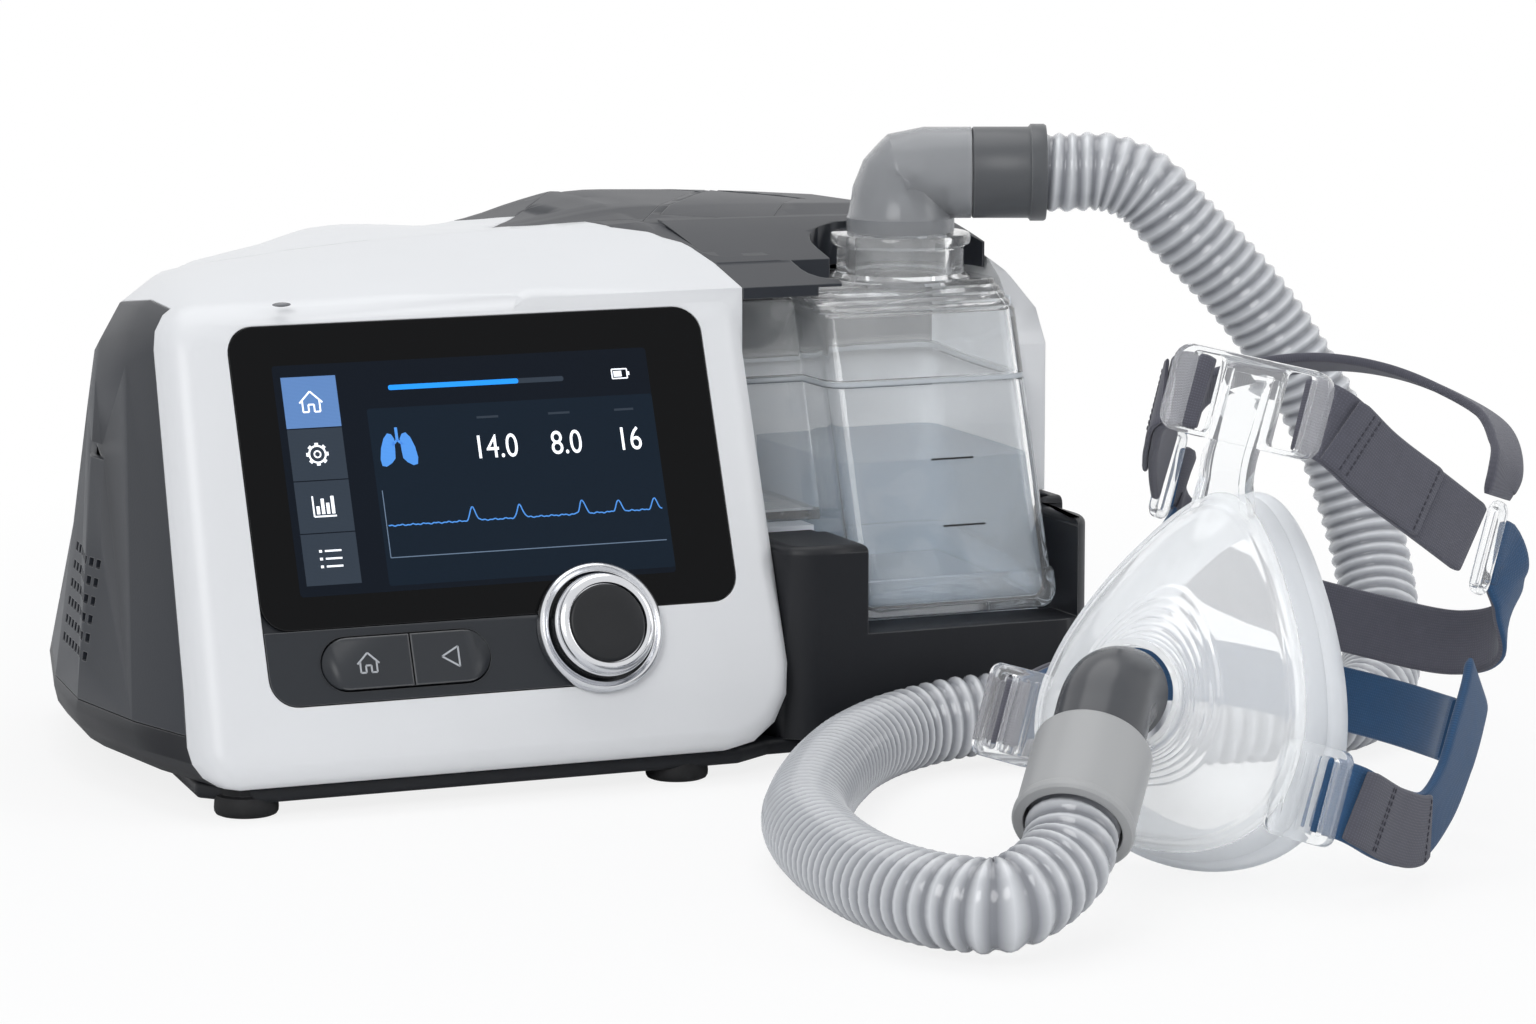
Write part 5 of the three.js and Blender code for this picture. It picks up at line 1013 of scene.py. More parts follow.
# Water
# Distilled water, filled up to the upper mark.
# It follows the tub's inner corners and stands just clear of the walls.
water_blue, tree, body = fresh_paint("water")
body.inputs["Transmission Weight"].default_value = 0.84
body.inputs["IOR"].default_value = 1.07
body.inputs["Roughness"].default_value = 0.02
water_place = tree.nodes.new("ShaderNodeTexCoord")
water_swell = tree.nodes.new("ShaderNodeTexNoise")
water_swell.inputs["Scale"].default_value = 14
water_bump = tree.nodes.new("ShaderNodeBump")
water_bump.inputs["Strength"].default_value = 0.15
water_bump.inputs["Distance"].default_value = 0.002
water_tone = tree.nodes.new("ShaderNodeValToRGB")
water_tone.color_ramp.elements[0].color = (0.5, 0.6, 0.7, 1)
water_tone.color_ramp.elements[1].color = (0.58, 0.68, 0.77, 1)
wired(tree, (
    (water_place.outputs["Object"], water_swell.inputs["Vector"]),
    (water_swell.outputs["Fac"], water_bump.inputs["Height"]),
    (water_swell.outputs["Fac"], water_tone.inputs[0]),
    (water_tone.outputs[0], body.inputs["Base Color"]),
    (water_bump.outputs[0], body.inputs["Normal"]),
))
lets_light_in(water_blue, 0.75)
water = chamber("water", main_ring, (
    (40.6, -6.2), (41.4, -4.6), (42.8, -3.3), (45.4, -2.4), (79.4, -2.5), (79.9, -2.35),
))
chosen(water)
bpy.ops.object.shade_smooth_by_angle(angle=radians(40))
water.data.materials.append(water_blue)
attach(water, "tank")

# Level marks, floor plate and seal
# Two lines are printed on the tub's front and a pressed steel plate is let into its floor.
# A soft clear seal lies between the tub and the lid.
mark_ink = moulded("mark_ink", (0.02, 0.022, 0.025), 0.5, grain=0, light=0)
marks = bmesh.new()
rise = 0.25                      # half the height of a line
lean = rise * front_lean
for z, left, right in ((80.2, 141, 154), (62.2, 142, 155)):
    y = tank_front(z) - 0.06
    corners = [(left, y - lean, z - rise), (right, y - lean, z - rise), (right, y + lean, z + rise),
               (left, y + lean, z + rise)]
    front_face = [marks.verts.new(machine + Vector(c) / 1000) for c in corners]
    back_face = [marks.verts.new(machine + Vector((c[0], c[1] + 0.05, c[2])) / 1000) for c in corners]
    marks.faces.new(front_face)
    marks.faces.new(back_face[::-1])
    for i in range(4):
        k = (i + 1) % 4
        marks.faces.new([front_face[k], front_face[i], back_face[i], back_face[k]])
bmesh.ops.recalc_face_normals(marks, faces=marks.faces)
level_marks = put_down("level_marks", marks)
level_marks.data.materials.append(mark_ink)
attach(level_marks, "tank")

steel, tree, body = fresh_paint("brushed_steel")
body.inputs["Metallic"].default_value = 1
steel_place = tree.nodes.new("ShaderNodeTexCoord")
steel_map = tree.nodes.new("ShaderNodeMapping")
steel_map.inputs["Scale"].default_value = (20, 900, 900)
steel_lines = tree.nodes.new("ShaderNodeTexNoise")
steel_lines.inputs["Scale"].default_value = 3
steel_tone = tree.nodes.new("ShaderNodeValToRGB")
steel_tone.color_ramp.elements[0].color = (0.42, 0.43, 0.45, 1)
steel_tone.color_ramp.elements[1].color = (0.6, 0.61, 0.62, 1)
steel_rough = tree.nodes.new("ShaderNodeMapRange")
steel_rough.inputs["To Min"].default_value = 0.25
steel_rough.inputs["To Max"].default_value = 0.42
wired(tree, (
    (steel_place.outputs["Object"], steel_map.inputs["Vector"]),
    (steel_map.outputs[0], steel_lines.inputs["Vector"]),
    (steel_lines.outputs["Fac"], steel_tone.inputs[0]),
    (steel_lines.outputs["Fac"], steel_rough.inputs["Value"]),
    (steel_tone.outputs[0], body.inputs["Base Color"]),
    (steel_rough.outputs[0], body.inputs["Roughness"]),
))


def repainted(node, paint):
    """Gives a solid that is shown as it is its finish."""
    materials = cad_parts[node].data.materials
    materials.clear()
    materials.append(paint)


for node in ("tank_floor_plate", "heater_plate", "encoder_shaft", "blower_motor"):
    repainted(node, steel)
seal_clear = moulded("seal_clear", (0.5, 0.53, 0.56), 0.4, grain=0.02)
smooth_copy("tank_seal", "lid_seal", "tank", seal_clear)

# Tank lid
# The clear lid steps back over its front edge and carries the round neck for the elbow.
# It presses onto the seal and comes away with the tub.
lid_levels = [(102.2, 0), (119.6, 0), (120.4, -0.3, 0.4)]
step_rise, step_back = 1.7, 2.75
for i in range(4):
    z = 120.2 + step_rise * i
    back = step_back * (i + 1)
    lid_levels += [(z + 0.35, -0.1, back - 0.5), (z + 1.35, 0, back), (z + 1.65, -0.35, back + 0.3)]
lid = chamber("clear_lid", main_ring, lid_levels)
lid = joined(lid, chamber("side", side_ring, ((102.2, 0), (123.6, 0), (124.6, -1))), "UNION")
lid = joined(lid, chamber("hollow", main_ring, ((98, -2.2), (119, -2.2), (124.6, -2.4, 11))), "DIFFERENCE")
lid = joined(lid, chamber("side_hollow", side_ring, ((98, -2.2), (121.6, -2.2), (122.4, -3))), "DIFFERENCE")


def circle(r, steps):
    """Points of a circle round zero."""
    return [(r * cos(2 * pi * i / steps), r * sin(2 * pi * i / steps)) for i in range(steps)]


bore = lofted("bore", [[(neck_x + a, neck_y + b, z) for a, b in circle(13, 48)] for z in (118, 132)])
lid = joined(lid, bore, "DIFFERENCE")
port_x, port_z = 101.75, 113.4   # where the air comes in from the machine
port = lofted("port", [[(port_x + a, y, port_z + b) for a, b in circle(7, 32)] for y in (100, 112)])
lid = joined(lid, port, "DIFFERENCE")
bpy.ops.object.shade_smooth_by_angle(angle=radians(35))
lid.data.materials.append(clear_plastic)
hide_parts("tank_lid")
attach(lid, "tank")


def in_metres(profile):
    """A half outline given in millimetres."""
    return [(r / 1000, h / 1000) for r, h in profile]


neck = turned("lid_neck", in_metres((
    (13, 127.1), (20, 127.1), (20, 127.8), (19.4, 128.3), (18.4, 128.9), (18.2, 131), (18.2, 135.9),
    (18.6, 136.4),
    (19.6, 136.8), (20, 137.2), (20, 139.3), (19.7, 139.8), (19.2, 140), (13, 140), (13, 127.1),
)), Matrix.Translation(machine + Vector((neck_x, neck_y, 0)) / 1000), 72, 35)
neck.data.materials.append(clear_plastic)
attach(neck, "tank")

# Outlet elbow and its sleeve
# A smoky clear elbow, moulded with a mitred corner, is pushed onto the neck.
# Its level arm takes a soft grey sleeve that grips the hose.
smoky = clouded("smoky_plastic", 45, (0.42, 0.43, 0.445), (0.54, 0.55, 0.565), 0.1, 0.22,
                Transmission_Weight=0.62, IOR=1.3)
lets_light_in(smoky, 0.5)
heading = radians(-23.25)
arm = Vector((cos(heading), sin(heading), 0))
across = Vector((-arm.y, arm.x, 0))
bend = Vector((neck_x, neck_y, 157))
upright = Vector((0, 0, 1))


def elbow_ring(centre, outward, side_way, r, steps=40):
    """A circle round a point of a bent tube, across its way there."""
    return [centre + outward * a + side_way * b for a, b in circle(r, steps)]


def elbow_rings(shrink):
    """The elbow's circles from its foot to its mouth, each smaller by shrink."""
    def riser(z, r):
        """On the neck's axis."""
        return elbow_ring(Vector((neck_x, neck_y, z)), -arm, across, r - shrink)

    def mitre(share, r):
        """Part of the way round the corner."""
        return elbow_ring(bend, -arm * (1 - share) + upright * share, across, r - shrink)

    def level(along, r):
        """On the level arm."""
        return elbow_ring(bend + arm * along, upright, across, r - shrink)

    return [riser(140.3, 15.4), riser(144.3, 15.4), riser(144.9, 15.0), riser(150, 14.0), riser(153, 13.6),
            mitre(0.25, 14.2), mitre(0.45, 14.56), mitre(0.6, 14.7), mitre(0.75, 14.56), level(6.5, 13),
            level(20, 13)]


elbow = lofted("smoky_elbow", elbow_rings(0) + elbow_rings(2)[::-1], closed=True)
chosen(elbow)
bpy.ops.object.shade_smooth_by_angle(angle=radians(30))
elbow.data.materials.append(smoky)
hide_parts("outlet_elbow")
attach(elbow, "tank")


def along_axis(origin, direction):
    """Places a turned piece with its own Z along a direction."""
    turn = Vector(direction).to_track_quat("Z", "Y").to_matrix().to_4x4()
    return Matrix.Translation(machine + origin / 1000) @ turn


sleeve_grey = moulded("sleeve_grey", (0.1, 0.104, 0.11), 0.34, grain=0.06, light=0.12)
sleeve = turned("outlet_sleeve", in_metres((
    (9.2, 0), (12.6, 0), (13, 0.4), (13, 15.9), (13.3, 16.3), (13.8, 16.6), (13.8, 20.4), (13.4, 21),
    (12, 21), (12, 15), (9.2, 15), (9.2, 0),
)), along_axis(bend + arm * 20.3, arm), 72)
sleeve.data.materials.append(sleeve_grey)
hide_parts("outlet_cuff")
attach(sleeve, "tank")

# Mask cushion
# A soft, cloudy silicone cushion follows the face, with a fold half way along its wall.
# It is moulded in one piece and snaps over the frame's rim.
mask_place = Vector((138.5, -140, 47.5))
mask_turn = (Matrix.Rotation(radians(-52.5), 3, "Z") @ Matrix.Rotation(radians(-16), 3, "X")
             @ Matrix.Rotation(radians(8), 3, "Y"))
silicone = clouded("silicone", 30, (0.86, 0.88, 0.905), (0.93, 0.945, 0.96), 0.22, 0.4,
                   Transmission_Weight=0.36, IOR=1.3)
lets_light_in(silicone, 0.7)


def worn(point):
    """A point of the mask, given in its own millimetres, from the machine's zero."""
    return mask_turn @ Vector(point) + mask_place


mask_sides = 144
half_wide, half_tall = 35, 47    # of the face outline, in millimetres
port_radius, port_drop = 14, 10


def face_ring(y, scale, blend=0.0):
    """An outline of the face that turns into the round port as blend goes to 1."""
    ring = []
    for j in range(mask_sides):
        turn = 2 * pi * j / mask_sides
        wide = half_wide * scale * cos(turn) * (1 - 0.42 * sin(turn))
        face = Vector((wide, y, half_tall * scale * sin(turn) - port_drop * blend))
        port = Vector((port_radius * cos(turn), y, port_radius * sin(turn) - port_drop))
        ring.append(face.lerp(port, blend))
    return ring


def shaded(piece, paint, node, angle=40):
    """Smooth shading, one material, and the housing to ride on."""
    chosen(piece)
    bpy.ops.object.shade_smooth_by_angle(angle=radians(angle))
    piece.data.materials.clear()
    piece.data.materials.append(paint)
    if node:
        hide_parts(node)
    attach(piece, "housing")
    return piece


cushion_wall, run = smooth_route([Vector((y, scale * 40, 0)) for y, scale in (
    (-18.1, 0.925), (-14, 0.965), (-9.5, 0.985), (-7.2, 0.988), (-6, 0.965), (-4.8, 0.99), (-1, 1.025),
    (2.6, 1.02), (5.6, 0.99), (7.4, 0.935), (7.4, 0.86), (6.6, 0.8), (5.6, 0.805), (3.2, 0.865),
    (-2.6, 0.935), (-10, 0.9), (-18.1, 0.87),
)], 0.8)
cushion_rings = [[worn(p) for p in face_ring(s.x, s.y / 40)] for s in cushion_wall]
cushion = lofted("silicone_cushion", cushion_rings, closed=True)
shaded(cushion, silicone, "mask_cushion", 60)

# Mask frame
# The clear frame is one hard moulding: a rim with a bead, a dome and the round port.
# Fine broken ridges round the port lead the breath out of the vent.
frame_line, run = smooth_route([Vector(s) for s in (
    (0, 0.95, 0), (0.1, 0.935, 0), (0.45, 0.8, 0.15), (0.78, 0.55, 0.5), (1, 0.3, 1))], 0.014)
rim_y, dome_deep = -18.5, 26     # where the rim stands, and how far the dome rises from it
frame_rows = [face_ring(rim_y - dome_deep * s.x, s.y, min(max(s.z, 0), 1)) for s in frame_line]
frame_rows += [face_ring(rim_y - dome_deep * depth, 0.3, 1) for depth in (1.05, 1.1, 1.13)]


def frame_ridge(share, turn):
    """How far the outer face stands proud, in millimetres."""
    # a bead at the rim and a fine line beside it, then seven broken ridges round the port
    proud = 0.9 * exp(-((share - 0.03) / 0.022) ** 4) + 0.35 * exp(-((share - 0.13) / 0.012) ** 2)
    for k in range(7):
        middle = 0.52 + 0.058 * k
        broken = max(0.0, sin(turn * (5 + k % 3) + 1.7 * k)) ** 0.4
        proud += (0.18 + 0.3 * broken) * exp(-((share - middle) / 0.011) ** 2)
    return proud


frame_outer, frame_inner = [], []
for i, row in enumerate(frame_rows):
    outer_row, inner_row = [], []
    for j, point in enumerate(row):
        along = frame_rows[min(i + 1, len(frame_rows) - 1)][j] - frame_rows[max(i - 1, 0)][j]
        round_way = row[(j + 1) % mask_sides] - row[j - 1]
        normal = along.cross(round_way).normalized()
        # outward is away from the mask's axis, which drops to the port after row 20
        if normal.dot(Vector((point.x, 0, point.z + port_drop * (i > 20))) + Vector((0, -20, 0))) < 0:
            normal.negate()
        share = i / (len(frame_line) - 1)
        turn = 2 * pi * j / mask_sides
        lift = frame_ridge(share, turn) if share <= 1 else 0
        outer_row.append(worn(point + normal * lift))
        inner_row.append(worn(point - normal * (1.9 if share < 1 else 1.6)))
    frame_outer.append(outer_row)
    frame_inner.append(inner_row)
mask_shell = lofted("mask_shell", frame_outer + frame_inner[::-1], closed=True)
mask_plastic = clear_plastic.copy()
mask_plastic.name = "mask_plastic"
mask_plastic.node_tree.nodes["Principled BSDF"].inputs["Transmission Weight"].default_value = 0.66
shaded(mask_shell, mask_plastic, "mask_frame", 50)

# Strap clips and forehead support
# Two slotted clips hook over the frame's sides; a channelled arm carries a slotted bar at the
# forehead. All are clear hard plastic.


def slab(name, outline, front, back):
    """A plate of the mask between two depths, its outline as (x, z) points."""
    return lofted(name, [[worn((x, y, z)) for x, z in outline] for y in (front, back)])


def eased(piece, width):
    """Rounds the piece's edges by this many millimetres."""
    chosen(piece)
    soften = piece.modifiers.new("edges", "BEVEL")
    soften.width = width / 1000
    soften.segments = 3
    soften.limit_method = "ANGLE"
    soften.angle_limit = radians(35)
    bpy.ops.object.modifier_apply(modifier="edges")
    return piece


for name, hand in (("right", 1), ("left", -1)):
    near, far_end = sorted((hand * 32.2, hand * 50.1))
    clip = slab(f"strap_clip_{name}", soft_rect(near, far_end, -33.6, -9.6, 3), -23.2, -18.8)
    slot_low, slot_high = sorted((hand * 43.3, hand * 46.7))
    slot = slab("slot", soft_rect(slot_low, slot_high, -31.4, -11.8, 1.2), -26, -16)
    clip = joined(clip, slot, "DIFFERENCE")
    for rib in (35.5, 38.3, 41):
        rib_low, rib_high = sorted((hand * rib, hand * (rib + 1.1)))
        clip = joined(clip, slab("rib", soft_rect(rib_low, rib_high, -31, -12.2, 0.5), -24, -22.9), "UNION")
    shaded(eased(clip, 0.55), clear_plastic, None)

arm_line, run = smooth_route([Vector((0, y, z)) for y, z in (
    (-20.4, 40), (-25, 52.5), (-24.4, 62), (-23.5, 75))], 1.6)
arm_shape = ((-6.5, -2.3), (6.5, -2.3), (6.5, 2.4), (4.6, 2.4), (4.1, 0.2), (-4.1, 0.2), (-4.6, 2.4),
             (-6.5, 2.4))
arm_rings = []
for i, point in enumerate(arm_line):
    along = way_at(arm_line, i)
    outward = Vector((1, 0, 0)).cross(along)
    if outward.y > 0:
        outward.negate()
    flare = 1.25 - 0.25 * min(i / 5, 1)                  # wider where it leaves the frame
    arm_rings.append([worn(point + Vector((x * flare, 0, 0)) + outward * y) for x, y in arm_shape])
support = lofted("forehead_frame", arm_rings)
bar = slab("bar", soft_rect(-21.5, 21.5, 57, 79, 4.5), -25.4, -21.6)
support = joined(support, bar, "UNION")
for low_x, high_x in ((8.5, 16.5), (-16.5, -8.5)):
    slot = slab("slot", soft_rect(low_x, high_x, 58.2, 77.8, 1.5), -32, -16)
    support = joined(support, slot, "DIFFERENCE")
shaded(eased(support, 0.6), clear_plastic, "forehead_support")

# Mask elbow and hose collar
# A dark hard elbow is snapped into the frame's port.
# A pale turned collar slides over it and grips the hose.
mask_port = worn((0, -48.4, -10))
port_way = mask_turn @ Vector((0, -1, 0))
arm_turn, arm_dip = radians(-130), radians(35)
mask_arm = Vector((cos(arm_turn) * cos(arm_dip), sin(arm_turn) * cos(arm_dip), -sin(arm_dip)))
mask_corner = mask_port + port_way * 9
bore_points = [mask_port + port_way * 0.4, mask_port + port_way * 2, mask_corner - port_way * 5,
               mask_corner - port_way * 1.6 + mask_arm * 1.6]
bore_points += [mask_corner + mask_arm * far for far in (5.5, 12, 19.6)]
bore_line, run = smooth_route(bore_points, 0.8)


def swivel_rings(radius):
    """Circles of one radius along the mask elbow's bore."""
    rings = []
    side_way = port_way.cross(mask_arm).normalized()
    for i, point in enumerate(bore_line):
        along = way_at(bore_line, i)
        rings.append(elbow_ring(point, side_way, side_way.cross(along), radius, 56))
    return rings


elbow_grey = moulded("elbow_grey", (0.07, 0.073, 0.08), 0.22, grain=0.02, light=0.1)
swivel = lofted("mask_swivel", swivel_rings(11.5) + swivel_rings(9)[::-1], closed=True)
shaded(swivel, elbow_grey, "mask_elbow")
collar_paint = moulded("collar_grey", (0.4, 0.402, 0.402), 0.36, grain=0.06, light=0.1)
collar = turned("collar", in_metres((
    (9.2, 0), (13.4, 0), (14, 0.25), (14.4, 0.9), (14.4, 23.2), (14.7, 23.6), (14.8, 24.2), (14.8, 25.3),
    (14.3, 26), (12, 26), (12, 14), (9.2, 14), (9.2, 0),
)), along_axis(mask_corner + mask_arm * 20, mask_arm), 80)
shaded(collar, collar_paint, "hose_collar", 30)

# Headgear straps
# Soft laminated bands, grey or blue on each face, cut with rounded edges. They pass through the
# clips and loops, fold back on themselves and are stitched down.
strap_group = bpy.data.node_groups.new("strap_cloth", "ShaderNodeTree")
for label, kind, default in (
    ("Colour", "NodeSocketColor", (0.1, 0.1, 0.12, 1)), ("Threads", "NodeSocketFloat", 450),
    ("Depth", "NodeSocketFloat", 0.4),
):
    strap_socket = strap_group.interface.new_socket(label, in_out="INPUT", socket_type=kind)
    strap_socket.default_value = default
for label, kind in skin_results:
    strap_group.interface.new_socket(label, in_out="OUTPUT", socket_type=kind)
tree = strap_group
strap_in = tree.nodes.new("NodeGroupInput")
strap_out = tree.nodes.new("NodeGroupOutput")
strap_uv = tree.nodes.new("ShaderNodeUVMap")
strap_uv.uv_map = "strap"
strap_warp = tree.nodes.new("ShaderNodeTexWave")
strap_warp.bands_direction = "X"
strap_weft = tree.nodes.new("ShaderNodeTexWave")
strap_weft.bands_direction = "Y"
strap_weave = tree.nodes.new("ShaderNodeMath")
strap_weave.operation = "MULTIPLY"
strap_fuzz = tree.nodes.new("ShaderNodeTexNoise")
strap_fuzz.inputs["Scale"].default_value = 260
strap_fuzz.inputs["Detail"].default_value = 4
strap_height = tree.nodes.new("ShaderNodeMath")
strap_height.operation = "ADD"
strap_bump = tree.nodes.new("ShaderNodeBump")
strap_bump.inputs["Distance"].default_value = 0.0002
strap_shade = tree.nodes.new("ShaderNodeMapRange")
strap_shade.inputs["From Max"].default_value = 1.6
strap_shade.inputs["To Min"].default_value = 0.72
strap_shade.inputs["To Max"].default_value = 1.22
strap_tone = tree.nodes.new("ShaderNodeVectorMath")
strap_tone.operation = "SCALE"
strap_rough = tree.nodes.new("ShaderNodeMapRange")
strap_rough.inputs["To Min"].default_value = 0.78
strap_rough.inputs["To Max"].default_value = 0.95
wired(tree, (
    (strap_uv.outputs[0], strap_warp.inputs["Vector"]),
    (strap_uv.outputs[0], strap_weft.inputs["Vector"]),
    (strap_in.outputs["Threads"], strap_warp.inputs["Scale"]),
    (strap_in.outputs["Threads"], strap_weft.inputs["Scale"]),
    (strap_uv.outputs[0], strap_fuzz.inputs["Vector"]),
    (strap_warp.outputs["Fac"], strap_weave.inputs[0]),
    (strap_weft.outputs["Fac"], strap_weave.inputs[1]),
    (strap_weave.outputs[0], strap_height.inputs[0]),
    (strap_fuzz.outputs["Fac"], strap_height.inputs[1]),
    (strap_height.outputs[0], strap_bump.inputs["Height"]),
    (strap_in.outputs["Depth"], strap_bump.inputs["Strength"]),
    (strap_height.outputs[0], strap_shade.inputs["Value"]),
    (strap_in.outputs["Colour"], strap_tone.inputs[0]),
    (strap_shade.outputs[0], strap_tone.inputs["Scale"]),
    (strap_fuzz.outputs["Fac"], strap_rough.inputs["Value"]),
    (strap_tone.outputs[0], strap_out.inputs["Colour"]),
    (strap_rough.outputs[0], strap_out.inputs["Roughness"]),
    (strap_bump.outputs[0], strap_out.inputs["Normal"]),
))


def cloth(name, colour):
    """A soft woven face for a strap."""
    paint, skin, shader = finished(name, strap_group)
    skin.inputs["Colour"].default_value = (*colour, 1)
    skin.inputs["Depth"].default_value = 0.45
    shader.inputs["Sheen Weight"].default_value = 0.18
    shader.inputs["Sheen Roughness"].default_value = 0.5
    return paint


grey_cloth = cloth("strap_grey", (0.085, 0.085, 0.108))
blue_cloth = cloth("strap_blue", (0.013, 0.06, 0.145))
thread = moulded("thread", (0.06, 0.06, 0.075), 0.8, grain=0.3, light=0)
strap_shape = [(-1, 0), (-0.985, 0.6), (-0.94, 0.93), (-0.8, 1), (-0.4, 1), (0, 1), (0.4, 1), (0.8, 1),
               (0.94, 0.93), (0.985, 0.6), (1, 0), (0.985, -0.6), (0.94, -0.93), (0.8, -1), (0.4, -1),
               (0, -1), (-0.4, -1), (-0.8, -1), (-0.94, -0.93), (-0.985, -0.6)]


def stations(points, widths, first=0.0, last=1.0):
    """Centre, width way, outward way and distance run along a band, every 1.2 mm."""
    centres = [machine + worn(Vector(p) * 100) / 1000 for p in points]
    line, length = smooth_route(centres, 0.0012)
    runs = [0.0]
    for a, b in zip(centres, centres[1:]):
        runs.append(runs[-1] + (b - a).length)
    rows = []
    for i in range(int(first * (len(line) - 1)), int(last * (len(line) - 1)) + 1):
        along = way_at(line, i)
        share = i / (len(line) - 1)
        place, k = share * runs[-1], 0
        while k < len(runs) - 2 and runs[k + 1] < place:
            k += 1
        part = (place - runs[k]) / (runs[k + 1] - runs[k])
        way = Vector(widths[min(k, len(widths) - 1)]).lerp(Vector(widths[min(k + 1, len(widths) - 1)]),
                                                           part)
        way = mask_turn @ way
        way = (way - along * way.dot(along)).normalized()
        rows.append((line[i], way, along.cross(way), share * length))
    return rows


def webbing(name, node, rows, wide, thick, outer, inner, lift=0.0):
    """A band through its stations, with a cloth on each face."""
    mesh = bmesh.new()
    strap_layer = mesh.loops.layers.uv.new("strap")
    rings = []
    for i, (centre, way, out, run) in enumerate(rows):
        near_end = max(0, 1 - min(i, len(rows) - 1 - i) / 1.5)
        narrow = 1 - 0.06 * near_end
        thin = thick * (1 - 0.4 * near_end)
        ring = []
        for a, b in strap_shape:
            spot = centre + way * (a * wide / 2000 * narrow) + out * (b * thin / 2000 + lift / 1000)
            ring.append(mesh.verts.new(spot))
        rings.append(ring)
    count = len(strap_shape)
    for i in range(len(rings) - 1):
        for j in range(count):
            k = (j + 1) % count
            face = mesh.faces.new([rings[i][j], rings[i + 1][j], rings[i + 1][k], rings[i][k]])
            for loop, (row, column) in zip(face.loops, ((i, j), (i + 1, j), (i + 1, k), (i, k))):
                a, b = strap_shape[column]
                loop[strap_layer].uv = (rows[row][3], a * wide / 2000 + (0 if b >= 0 else wide / 500))
    mesh.faces.new(rings[0])
    mesh.faces.new(rings[-1][::-1])
    bmesh.ops.recalc_face_normals(mesh, faces=mesh.faces)
    piece = put_down(name, mesh)
    shaded(piece, outer, node, 60)
    piece.data.materials.append(inner)
    for n, face in enumerate(piece.data.polygons):
        j = n % count
        face.material_index = 0 if strap_shape[j][1] + strap_shape[(j + 1) % count][1] > 0 else 1
    return piece


def seams(name, rows, shares, wide, lift):
    """Rows of short stitches across a band."""
    mesh = bmesh.new()
    for share in shares:
        centre, way, out, run = rows[int(share * (len(rows) - 1))]
        along = way.cross(out)
        count = int(wide / 1.7)
        for k in range(count):
            middle = centre + way * ((k + 0.5 - count / 2) * 0.0017) + out * (lift / 1000)
            rings = []
            for step, size in ((-0.62, 0.05), (-0.35, 0.2), (0.35, 0.2), (0.62, 0.05)):
                spot = middle + way * (step / 1000)
                rings.append([mesh.verts.new(spot + along * (a / 1000) + out * (b / 1000))
                              for a, b in circle(size, 6)])
            for low, high in zip(rings, rings[1:]):
                for n in range(6):
                    mesh.faces.new([low[n], low[(n + 1) % 6], high[(n + 1) % 6], high[n]])
            mesh.faces.new(rings[0][::-1])
            mesh.faces.new(rings[-1])
    bmesh.ops.recalc_face_normals(mesh, faces=mesh.faces)
    return shaded(put_down(name, mesh), thread, None, 60)


upright_way = ((0, 0, 1),)
upper = ((0.13, -0.198, 0.68), (0.18, -0.198, 0.68), (0.23, -0.18, 0.665), (0.295, -0.06, 0.61),
         (0.375, 0.14, 0.555), (0.439, 0.328, 0.507))
upper_left = [(-x, y, z) for x, y, z in upper]
crown = ((0.46, 0.37, 0.628), (0.46, 0.371, 0.67), (0.44, 0.41, 0.73), (0.35, 0.49, 0.82),
         (0.18, 0.55, 0.875), (0, 0.57, 0.9), (-0.18, 0.56, 0.885), (-0.34, 0.51, 0.82),
         (-0.44, 0.43, 0.73), (-0.46, 0.4, 0.67), (-0.46, 0.399, 0.628))
back = ((0.46, 0.457, 0.495), (0.461, 0.5, 0.495), (0.474, 0.57, 0.41), (0.45, 0.64, 0.31),
        (0.32, 0.71, 0.26), (0.05, 0.75, 0.25), (-0.24, 0.74, 0.26), (-0.43, 0.68, 0.3), (-0.49, 0.58, 0.4),
        (-0.461, 0.5, 0.495), (-0.46, 0.457, 0.495))
lower_right = ((0.4, -0.166, -0.21), (0.5, -0.15, -0.215), (0.54, 0.02, -0.24), (0.56, 0.17, -0.23),
               (0.555, 0.29, -0.13), (0.535, 0.37, 0), (0.505, 0.45, 0.11), (0.485, 0.49, 0.17))
lower_right_way = ((0, 0, 1), (0, 0, 1), (0, 0, 1), (0, -0.35, 1), (0, -0.8, 0.6), (0, -1, 0.3),
                   (0, -1, 0.4), (0, -1, 0.4))
lower_left = ((-0.4, -0.166, -0.21), (-0.5, -0.15, -0.215), (-0.55, 0.05, -0.21), (-0.56, 0.3, -0.13),
              (-0.5, 0.54, -0.03), (-0.33, 0.7, 0.03), (-0.08, 0.77, 0.045), (0.17, 0.73, 0.045),
              (0.36, 0.61, 0.035), (0.445, 0.48, 0.03))
band_thick, tab_thick = 2.4, 1.5
tab_lift, stitch_lift = 2.05, 2.9                       # from the band's middle, in millimetres
for name, points, outward in (("right", upper, 1), ("left", upper_left, -1)):
    rows = stations(points, upright_way)
    webbing(f"upper_band_{name}", f"upper_strap_{name}", rows, 19, band_thick, grey_cloth, grey_cloth)
    tab = stations(points, upright_way, 0.16, 0.7)
    webbing(f"upper_tab_{name}", None, tab, 18.6, tab_thick, grey_cloth, grey_cloth, outward * tab_lift)
    seams(f"upper_stitches_{name}", tab, (0.16, 0.2, 0.95), 17.6, outward * stitch_lift)
rows = stations(crown, ((0, 1, 0),))
webbing("crown_band", "crown_strap", rows, 16.6, band_thick, grey_cloth, grey_cloth)
rows = stations(back, upright_way)
webbing("back_band", "headgear_back", rows, 17, band_thick, blue_cloth, grey_cloth)
rows = stations(lower_right, lower_right_way)
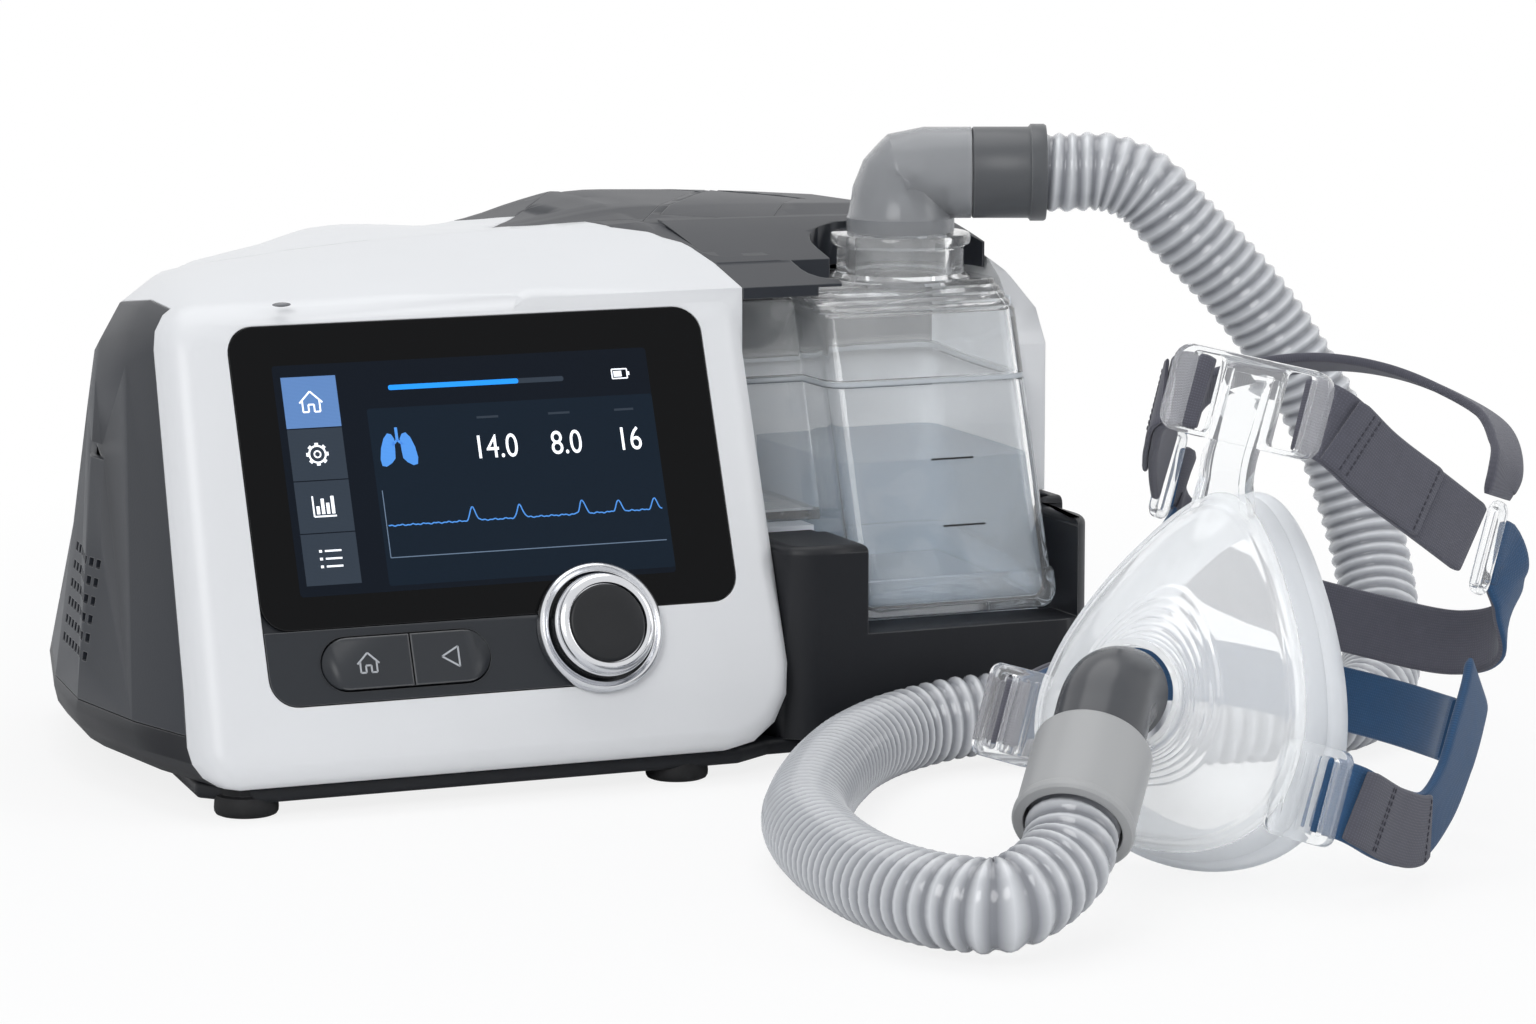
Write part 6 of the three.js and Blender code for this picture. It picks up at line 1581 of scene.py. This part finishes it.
webbing("lower_band_right", "lower_strap_right", rows, 19, band_thick, blue_cloth, blue_cloth)
tab = stations(lower_right, lower_right_way, 0.12, 0.48)
webbing("lower_tab_right", None, tab, 18.6, tab_thick, grey_cloth, grey_cloth, tab_lift)
seams("lower_stitches_right", tab, (0.3, 0.34, 0.94), 17.6, stitch_lift)
rows = stations(lower_left, upright_way)
webbing("lower_band_left", "lower_strap_left", rows, 16.6, band_thick, blue_cloth, grey_cloth)
tab = stations(lower_left, upright_way, 0.05, 0.3)
webbing("lower_tab_left", None, tab, 16.2, tab_thick, grey_cloth, grey_cloth, -tab_lift)

# Strap loops
# A rounded loop of clear plastic rod at each side joins the upper band, the crown band and
# the back band.
loop_side, loop_y, loop_z = 46, 40, 50                  # the loop's middle, in the mask's own millimetres
flat_y, flat_z = 3.8 - 2.4, 11 - 2.4                    # half the straight runs between the corners
corner_radius, rod_radius = 2.4, 1.2
for name, hand in (("right", 1), ("left", -1)):
    bars = []
    for cy, cz, start in ((flat_y, flat_z, 0), (-flat_y, flat_z, 90), (-flat_y, -flat_z, 180),
                          (flat_y, -flat_z, 270)):
        for i in range(9):
            turn = radians(start + 90 * i / 8)
            away = Vector((0, cos(turn), sin(turn)))
            centre = Vector((hand * loop_side, loop_y + cy, loop_z + cz)) + away * corner_radius
            bars.append([worn(centre + Vector((a, 0, 0)) + away * b) for a, b in circle(rod_radius, 16)])
    loop = lofted(f"loop_{name}", bars, closed=True)
    shaded(loop, clear_plastic, f"strap_loop_{name}", 60)

# Inside the machine
# The board, the motor, the ducts and the foam are screwed or clipped in and hardly show.
# They keep their solids, and each gets the finish of its real part.
board_green = moulded("board_green", (0.012, 0.085, 0.04), 0.38, grain=0.25, scale=700, light=0.05)
inner_abs = moulded("inner_abs", (0.155, 0.16, 0.175), 0.42, grain=0.1)
socket_black = moulded("socket_black", (0.014, 0.014, 0.016), 0.4, grain=0.1)
foam = moulded("filter_foam", (0.26, 0.28, 0.3), 0.9, grain=1, scale=600, light=0.02)
rotor_white = moulded("rotor_white", (0.55, 0.56, 0.56), 0.36, grain=0.05)
for node, paint in (
    ("main_board", board_green), ("display_module", socket_black), ("encoder_body", inner_abs),
    ("blower_housing", inner_abs), ("air_duct", inner_abs), ("impeller", rotor_white),
    ("inlet_filter", foam), ("power_inlet", socket_black),
):
    repainted(node, paint)
